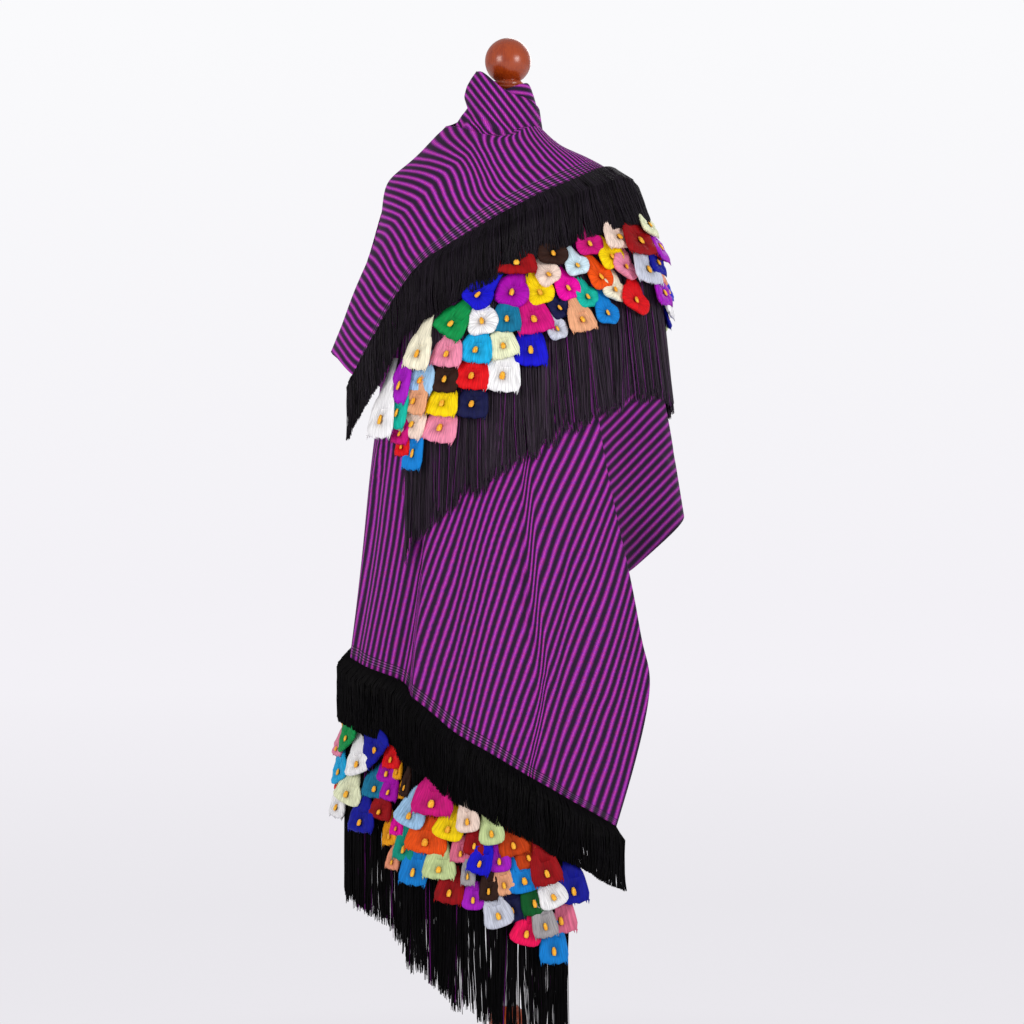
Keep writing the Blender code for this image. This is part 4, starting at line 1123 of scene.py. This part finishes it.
END_PADS = (
    ("dark red", 516, 261, 36, 25, 0), ("cream", 614, 236, 28, 25, 4),
    ("dark red", 636, 239, 29, 32, -4), ("ivory green", 644, 224, 20, 24, -12),
    ("purple", 659, 245, 26, 34, -10), ("silver", 644, 267, 28, 32, -5),
    ("deep blue", 655, 261, 22, 26, -6), ("salmon", 667, 270, 25, 29, -12),
    ("white", 667, 300, 26, 34, -6), ("purple", 659, 291, 24, 28, 0),
    ("peach", 579, 318, 27, 26, 10), ("magenta", 532, 317, 34, 31, 12),
    ("teal", 507, 317, 25, 28, 0), ("green", 453, 322, 30, 28, -32),
    ("ivory green", 503, 344, 26, 27, 14), ("blue", 530, 347, 30, 35, 0),
    ("cyan", 477, 348, 30, 28, -8), ("pink", 448, 352, 30, 28, -6),
    ("ivory", 421, 351, 26, 34, -10), ("purple", 400, 382, 20, 38, -12),
    ("light blue", 421, 378, 28, 27, -12), ("brown", 446, 377, 26, 29, -4),
    ("red", 473, 374, 32, 29, -6), ("white", 503, 373, 32, 35, -6),
    ("peach", 417, 399, 27, 27, -14), ("yellow", 444, 401, 30, 28, -6),
    ("navy", 473, 402, 30, 30, -6), ("turquoise", 400, 410, 19, 34, -10),
    ("white", 383, 416, 26, 40, -3), ("cream", 414, 422, 26, 28, -20),
    ("pink", 441, 425, 33, 32, -10), ("magenta", 401, 432, 17, 22, -8),
    ("red", 402, 445, 15, 20, 0), ("azure", 416, 450, 20, 36, -4),
)
HEM_CUPS = (
    ("green", 350, 735, 25, 23, 28), ("white", 360, 760, 28, 27, 16),
    ("cyan", 343, 768, 25, 26, 20),
    ("red violet", 388, 770, 22, 24, 0), ("ivory green", 352, 790, 29, 27, -8),
    ("light blue", 413, 811, 32, 30, -18), ("yellow", 450, 825, 29, 28, -14),
    ("cream", 468, 817, 22, 28, 8), ("pale green", 491, 829, 23, 29, 10),
    ("purple", 473, 896, 20, 26, 0), ("azure", 523, 876, 30, 30, 14),
    ("silver", 497, 911, 27, 30, 20), ("white", 551, 893, 27, 28, 24),
    ("hot pink", 527, 929, 28, 30, -14), ("purple", 499, 857, 21, 28, 6),
)
HEM_PADS = (
    ("pink", 338, 745, 18, 20, 0), ("deep blue", 377, 746, 30, 27, 44),
    ("red", 394, 755, 18, 24, 0), ("amber", 399, 768, 9, 20, 0),
    ("amber", 401, 791, 8, 14, 0), ("red", 333, 779, 16, 20, 10),
    ("teal", 375, 784, 27, 25, 0), ("white", 340, 802, 24, 28, 0),
    ("deep blue", 365, 817, 27, 27, 0),
    ("dark red", 384, 808, 22, 20, -10), ("brown", 406, 783, 9, 24, -8),
    ("red violet", 393, 788, 18, 22, -8), ("magenta", 435, 797, 40, 32, -4),
    ("amber", 390, 831, 17, 25, 8), ("bright magenta", 398, 825, 14, 18, 0),
    ("sea green", 405, 843, 22, 32, -6), ("orange", 427, 836, 41, 31, -6),
    ("salmon", 396, 858, 14, 20, -6), ("azure", 416, 865, 29, 35, -4),
    ("pale green", 441, 864, 31, 26, 0), ("rose", 461, 849, 20, 24, 0),
    ("dark red", 475, 841, 19, 25, -4), ("blue", 482, 858, 21, 28, -16),
    ("rust", 512, 840, 26, 28, 14), ("rust", 527, 853, 24, 26, 22),
    ("dark red", 544, 867, 27, 31, 14), ("grey", 469, 871, 13, 25, 0),
    ("dark red", 451, 887, 26, 29, -8), ("brown", 489, 886, 17, 26, 0),
    ("peach", 503, 880, 20, 26, 12), ("deep blue", 571, 884, 29, 34, 4),
    ("navy", 511, 905, 24, 30, 8), ("dark green", 533, 897, 23, 32, 10),
    ("rose", 560, 914, 29, 34, 4), ("grey", 543, 920, 22, 30, 10),
    ("azure", 553, 944, 25, 34, 0),
)
FLOWER_SIZE, SHINGLE = 0.038, 11.0  # made this wide and tall; the foot leans out by so much
FLOWER_OUT = 0.0085  # from the innermost threads to the middle of a flower's back
FLOWER_LAYER, LAYERS = 0.0016, 5  # from one layer of flowers to the next, and how many
FLOWER_SPREAD, TOWARD_EYE = 1.06, 0.45  # they crowd each other and turn a little to the front


def sighted(hang, x, y, out):
    """Where the eye meets the hanging flowers at a place on the front view."""
    eye = np.array(camera.location)
    across, down = (x - VIEW_PIXELS / 2) * UNIT, (y - VIEW_PIXELS / 2) * UNIT
    aim = np.array([eye[0] + across, 0, eye[2] - down]) - eye
    steps = eye + aim * np.linspace(0.93, 1.03, 600)[:, None]
    azimuth = np.degrees(heading(steps))
    level = steps[:, 2]
    gap = np.hypot(steps[:, 0], steps[:, 1]) - hang.radius(azimuth, level) - out
    first = np.argmax(gap < 0) if (gap < 0).any() else np.argmin(gap)
    return azimuth[first], level[first]


def flower_mesh(name, kind, low):
    """A flower of nominal size about the origin: +Y to its stem and +Z to the eye.

    A cup is a funnel whose rim rolls back round an open throat, a bell hangs straight and
    widens to a round foot, and a pad is a flat trimmed bundle with a ragged foot. The throat
    is low, below the middle."""
    cup = kind == "cup"
    half, count = FLOWER_SIZE / 2, 24
    corner = {"cup": 2.5, "bell": 3.0, "pad": 4.2}[kind]  # 2 is round, and more is squarer
    rings = ((0.06, 0.0008), (0.15, 0.0014), (0.26, 0.0030), (0.48, 0.0044), (0.75, 0.0052),
             (0.93, 0.0044), (1.0, 0.0014), (0.90, -0.0014)) if cup else (
             (0.06, 0.0016), (0.14, 0.0021), (0.26, 0.0035), (0.55, 0.0044), (0.82, 0.0043),
             (0.96, 0.0028), (1.0, 0.0010), (0.90, -0.0014))
    # Each point is its place, its place on the floss, its depth in the throat and its gold.
    points = []
    for share, height in rings:
        for k in range(count):
            angle = 2 * math.pi * k / count + math.pi / 2
            c, d = math.cos(angle), math.sin(angle)
            size = (abs(c) ** corner + abs(d) ** corner) ** (-1 / corner)
            x, y = half * size * c, half * size * d
            if cup:
                x *= 1 + 0.05 * math.cos(3 * angle) - 0.16 * d
                y *= 1 + 0.06 * math.sin(5 * angle + 0.6)
            elif kind == "bell":
                x *= 0.94 - 0.30 * y / half + 0.04 * math.cos(5 * angle)
            else:
                x *= 1 - 0.20 * y / half
                y -= 0.0016 * (k % 2) * (d < -0.5)
            x, y = share * x, -low + share * (y + low)
            swell = 1 + (0.16 if cup else 0.10) * math.sin(3 * angle + 1) + (
                0.16 * math.sin(7 * angle)) - 0.45 * max(d, 0)
            laid = (half * c, half * d, share * half * 0.10) if cup else (
                x / (1 - 0.34 * y / half), 0.08 * y, 0)
            points.append((x, y, height * swell, *laid, min(1, max(0, (share - 0.10) / 0.42)), 0))
    faces = tube_faces(0, len(rings), count, True)
    # The stem: a flattened tube from the pad's back up to where the floss is wound.
    stem = ((0.006, 0.0140, 0.0006, 0.0030), (0.016, 0.0125, 0.0008, 0.0032),
            (0.026, 0.0090, -0.0002, 0.0030), (0.036, 0.0064, -0.0018, 0.0026),
            (0.052, 0.0040, -0.0050, 0.0022))
    faces += tube_faces(len(points), len(stem), 8)
    for level, wide, back, thick in stem:
        for k in range(8):
            angle = 2 * math.pi * k / 8
            x = wide * math.cos(angle)
            points.append((x, level, back + thick * math.sin(angle),
                           x * 1.4, 0.08 * level, 0.01, 0.8, 0))
    # The spadix: a knot of golden floss, standing out of the throat and tipped to the foot.
    wide, tall = (0.0028, 0.0052) if cup else (0.0032, 0.0052)
    faces += tube_faces(len(points), 4, 6)
    for i in range(1, 5):
        turn = math.pi * i / 5
        for k in range(6):
            angle = 2 * math.pi * k / 6
            x = wide * math.sin(turn) * math.cos(angle) * (0.8 + 0.07 * i)
            z = 0.0030 + 0.0017 * math.sin(turn) * math.sin(angle) + 0.0005 * i
            points.append((x, -low + 0.0005 + tall * math.cos(turn), z, x * 2, -low, z * 2, 1, 1))
    if kind == "pad":  # cut ends of floss stand out of the foot
        for k in range(11):
            x = half * (-1.06 + 2.12 * (k + 0.5) / 11)
            first = len(points)
            y, fall = -half * 0.90, 0.0036 + 0.0016 * math.sin(5.1 * k + 1)
            for corner in ((x - 0.0013, y, 0.0022), (x + 0.0013, y, 0.0022), (x, y, -0.0002),
                           (x + 0.0009 * math.sin(3.7 * k), y - fall, 0.0012)):
                points.append((*corner, x, 0, 0, 1, 0))
            faces += [(first, first + 3, first + 1), (first + 1, first + 3, first + 2),
                      (first + 2, first + 3, first), (first, first + 1, first + 2)]
    points = np.array(points, float)
    flower = meshed(name, points[:, :3], [], faces, grain=points[:, 3:6], depth=points[:, 6],
                    gold=points[:, 7])
    shape = bmesh.new()
    shape.from_mesh(flower.data)
    bmesh.ops.recalc_face_normals(shape, faces=shape.faces)
    shape.to_mesh(flower.data)
    shape.free()
    return flower


def flower_places(name, hang, charted, seed, deep):
    """One vertex for each flower, with its kind, turn, size and colour, which is deep times
    the chart's, so that deep below 1 paints shade. They lap like shingles, and those side by side
    lie in different layers, the upper one outermost.

    charted holds (kind, colour, azimuth, level, width, height, lean)."""
    rng = np.random.default_rng(seed)
    places, turns, sizes, tints, kinds, laid = [], [], [], [], [], []
    for kind, colour, azimuth, level, wide, tall, lean in sorted(charted, key=lambda row: -row[3]):
        radius = hang.radius(azimuth, level)
        spot = (math.radians(azimuth) * radius, level, wide / 2, tall / 2)
        taken = {other[4] for other in laid
                 if abs(other[0] - spot[0]) < 1.05 * (other[2] + spot[2])
                 and abs(other[1] - spot[1]) < 0.70 * (other[3] + spot[3])}
        below = set(range(min(taken, default=LAYERS)))
        layer = max(below or set(range(LAYERS)) - taken, default=0)
        laid.append(spot + (layer,))
        out = FLOWER_OUT + FLOWER_LAYER * layer
        place = cartesian(np.array([azimuth, radius + out, level]))
        above = cartesian(np.array([azimuth, hang.radius(azimuth, level + 0.03) + out,
                                    level + 0.03]))
        up = Vector(above - place).normalized()
        outward = outward_at(azimuth)
        right = up.cross(outward).normalized()
        outward = right.cross(up)
        toward = TOWARD_EYE * min(1, max(0, 0.45 - outward.y)) * (1 + 0.7 * outward.y)
        outward = (outward + Vector((0, -toward, 0))).normalized()
        right = up.cross(outward).normalized()
        up = outward.cross(right)
        wide *= FLOWER_SPREAD * min(1.6, max(1, 0.85 / max(-outward.y, 0.1)))
        tall *= FLOWER_SPREAD
        frame_of = Matrix((right, up, outward)).transposed()
        frame_of = frame_of @ Matrix.Rotation(math.radians(lean), 3, "Z")
        frame_of = frame_of @ Matrix.Rotation(math.radians(-SHINGLE + rng.uniform(-2, 2)), 3, "X")
        frame_of = frame_of @ Matrix.Rotation(math.radians(rng.uniform(-3, 3)), 3, "Y")
        places.append(tuple(place))
        turns.append(tuple(frame_of.to_euler()))
        sizes.append((wide / FLOWER_SIZE, tall / FLOWER_SIZE, rng.uniform(0.9, 1.25)))
        tints.append([deep * channel for channel in linear(FLOSS[colour])])
        kinds.append(0 if kind == "cup" else 1)
    return meshed(name, places, [], [], turn=turns, size=sizes, tint=tints, kind=kinds,
                  number=rng.uniform(0, 50, len(kinds)))


def charted_flowers(hang, cups, pads, hidden):
    """The flowers of one end: those charted on the front view, and rows round the far side.

    hidden says where the rows are: their first and last azimuth, the first one's drop below the
    cloth's end and how many there are."""
    charted = []
    for kind, rows in (("cup", cups), ("pad", pads)):
        for colour, x, y, wide, tall, lean in rows:
            azimuth, level = sighted(hang, x, y, FLOWER_OUT + 2 * FLOWER_LAYER)
            charted.append((kind, colour, azimuth, level, wide * UNIT, tall * UNIT, lean))
    names = list(FLOSS)
    start, stop, first_drop, rows = hidden
    number = 0
    for row in range(rows):
        azimuth = start + 5.0 * (row % 2)  # staggered
        while azimuth < stop:
            level = float(hang.height(azimuth)) - first_drop - 0.030 * row
            colour = names[(number * 11 + 3 * row) % len(names)]
            lean = 8 * math.sin(2.3 * number)
            charted.append(("cup" if number % 3 else "pad", colour, azimuth, level,
                            FLOWER_SIZE, 0.037, lean))
            azimuth += math.degrees(0.035 / (hang.radius(azimuth, level) + FLOWER_OUT))
            number += 1
    return charted


# Flowers: each vertex becomes a cup or a pad in its own colour.
gardener = bpy.data.node_groups.new("flower_setter", "GeometryNodeTree")
socket(gardener, "Places", "NodeSocketGeometry")
socket(gardener, "Flowers", "NodeSocketGeometry", "OUTPUT")
cup_socket = socket(gardener, "Cup", "NodeSocketObject").identifier
pad_socket = socket(gardener, "Pad", "NodeSocketObject").identifier
floss_socket = socket(gardener, "Finish", "NodeSocketMaterial").identifier
given = add(gardener, "NodeGroupInput")
kind, turn, size = (
    add(gardener, "GeometryNodeInputNamedAttribute", {"Name": label}, data_type=data_type)
    for label, data_type in (("kind", "FLOAT"), ("turn", "FLOAT_VECTOR"),
                             ("size", "FLOAT_VECTOR")))
turned_by = add(gardener, "FunctionNodeEulerToRotation", {0: turn})
join = add(gardener, "GeometryNodeJoinGeometry")
for label, test in (("Cup", "LESS_THAN"), ("Pad", "GREATER_THAN")):
    shape = add(gardener, "GeometryNodeObjectInfo", {"Object": given.outputs[label]})
    chosen = add(gardener, "FunctionNodeCompare", {0: kind, 1: 0.5}, data_type="FLOAT",
                 operation=test)
    placed = add(gardener, "GeometryNodeInstanceOnPoints", {
        "Points": given.outputs["Places"], "Selection": chosen,
        "Instance": shape.outputs["Geometry"], "Rotation": turned_by, "Scale": size,
    })
    feed(gardener, join, {0: placed})
real = add(gardener, "GeometryNodeRealizeInstances", {"Geometry": join})
coated = add(gardener, "GeometryNodeSetMaterial", {"Geometry": real,
                                                   "Material": given.outputs["Finish"]})
add(gardener, "NodeGroupOutput", {"Flowers": coated})

# Embroidery floss: shiny six-strand cotton. Strands are 0.4 mm and drawn 1.1 mm so that they
# show, with painted highlights on their crests, and painted shade makes a flower darkest where
# its floss dives into the throat.
floss, tree, shader = finish("embroidery_floss", Roughness=0.60, Specular_IOR_Level=0.12,
                             Sheen_Weight=0.02, Sheen_Roughness=0.35)
tint, depth, gold, grain, number = (
    add(tree, "ShaderNodeAttribute", attribute_name=label)
    for label in ("tint", "depth", "gold", "grain", "number"))
strands = add(tree, "ShaderNodeTexNoise", {
    "Vector": grain.outputs["Vector"], "W": number.outputs["Fac"], "Scale": 900, "Detail": 1.5,
}, noise_dimensions="4D")
tone = add(tree, "ShaderNodeMapRange", {"Value": strands, "From Min": 0.30, "From Max": 0.70,
                                        "To Min": 0.66, "To Max": 1.16})
pit = add(tree, "ShaderNodeMapRange", {"Value": depth.outputs["Fac"], "To Min": 0.62,
                                       "To Max": 1.0})
toned = tint.outputs["Color"]
for factor in (tone, pit):
    toned = add(tree, "ShaderNodeMix", {0: 1.0, 6: toned, 7: factor}, data_type="RGBA",
                blend_type="MULTIPLY").outputs[2]
yellows = add(tree, "ShaderNodeMapRange", {"Value": strands, "From Min": 0.35,
                                           "From Max": 0.62})
golden = add(tree, "ShaderNodeMix", {0: yellows, 6: linear("#ef8207"), 7: linear("#ffd04a")},
             data_type="RGBA")
knotted = add(tree, "ShaderNodeMix", {0: gold.outputs["Fac"], 6: toned, 7: golden.outputs[2]},
              data_type="RGBA")
relief = add(tree, "ShaderNodeBump", {"Height": strands, "Strength": 0.5, "Distance": 0.0006})
feed(tree, shader, {"Base Color": knotted.outputs[2], "Normal": relief})


def flowers_piece(name, hang, cups, pads, hidden, seed, deep, cup, pad):
    """The flowers of one end as one piece, each made from one of two patterns."""
    charted = charted_flowers(hang, cups, pads, hidden)
    places = flower_places(name + "_places", hang, charted, seed, deep)
    return made_plain(name, places, gardener,
                      {cup_socket: cup, pad_socket: pad, floss_socket: floss},
                      "flower_thread", name + "_inner", name + "_outer")


patterns = [flower_mesh("cup", "cup", 0.0030), flower_mesh("pad", "pad", 0.0042),
            flower_mesh("bell", "bell", 0.0066), flower_mesh("hanging_pad", "pad", 0.0080)]
end_flowers = flowers_piece("end_flowers", end, END_CUPS, END_PADS, (92, 116, 0.098, 4), 21,
                            1.0, *patterns[:2])
# The hem's flowers are a tenth darker: painted shade, as less light falls low down.
hem_flowers = flowers_piece("hem_flowers", hem, HEM_CUPS, HEM_PADS, (-112, -92, 0.100, 4), 22,
                            0.90, *patterns[2:])
for pattern in patterns:
    bpy.data.objects.remove(pattern, do_unlink=True)
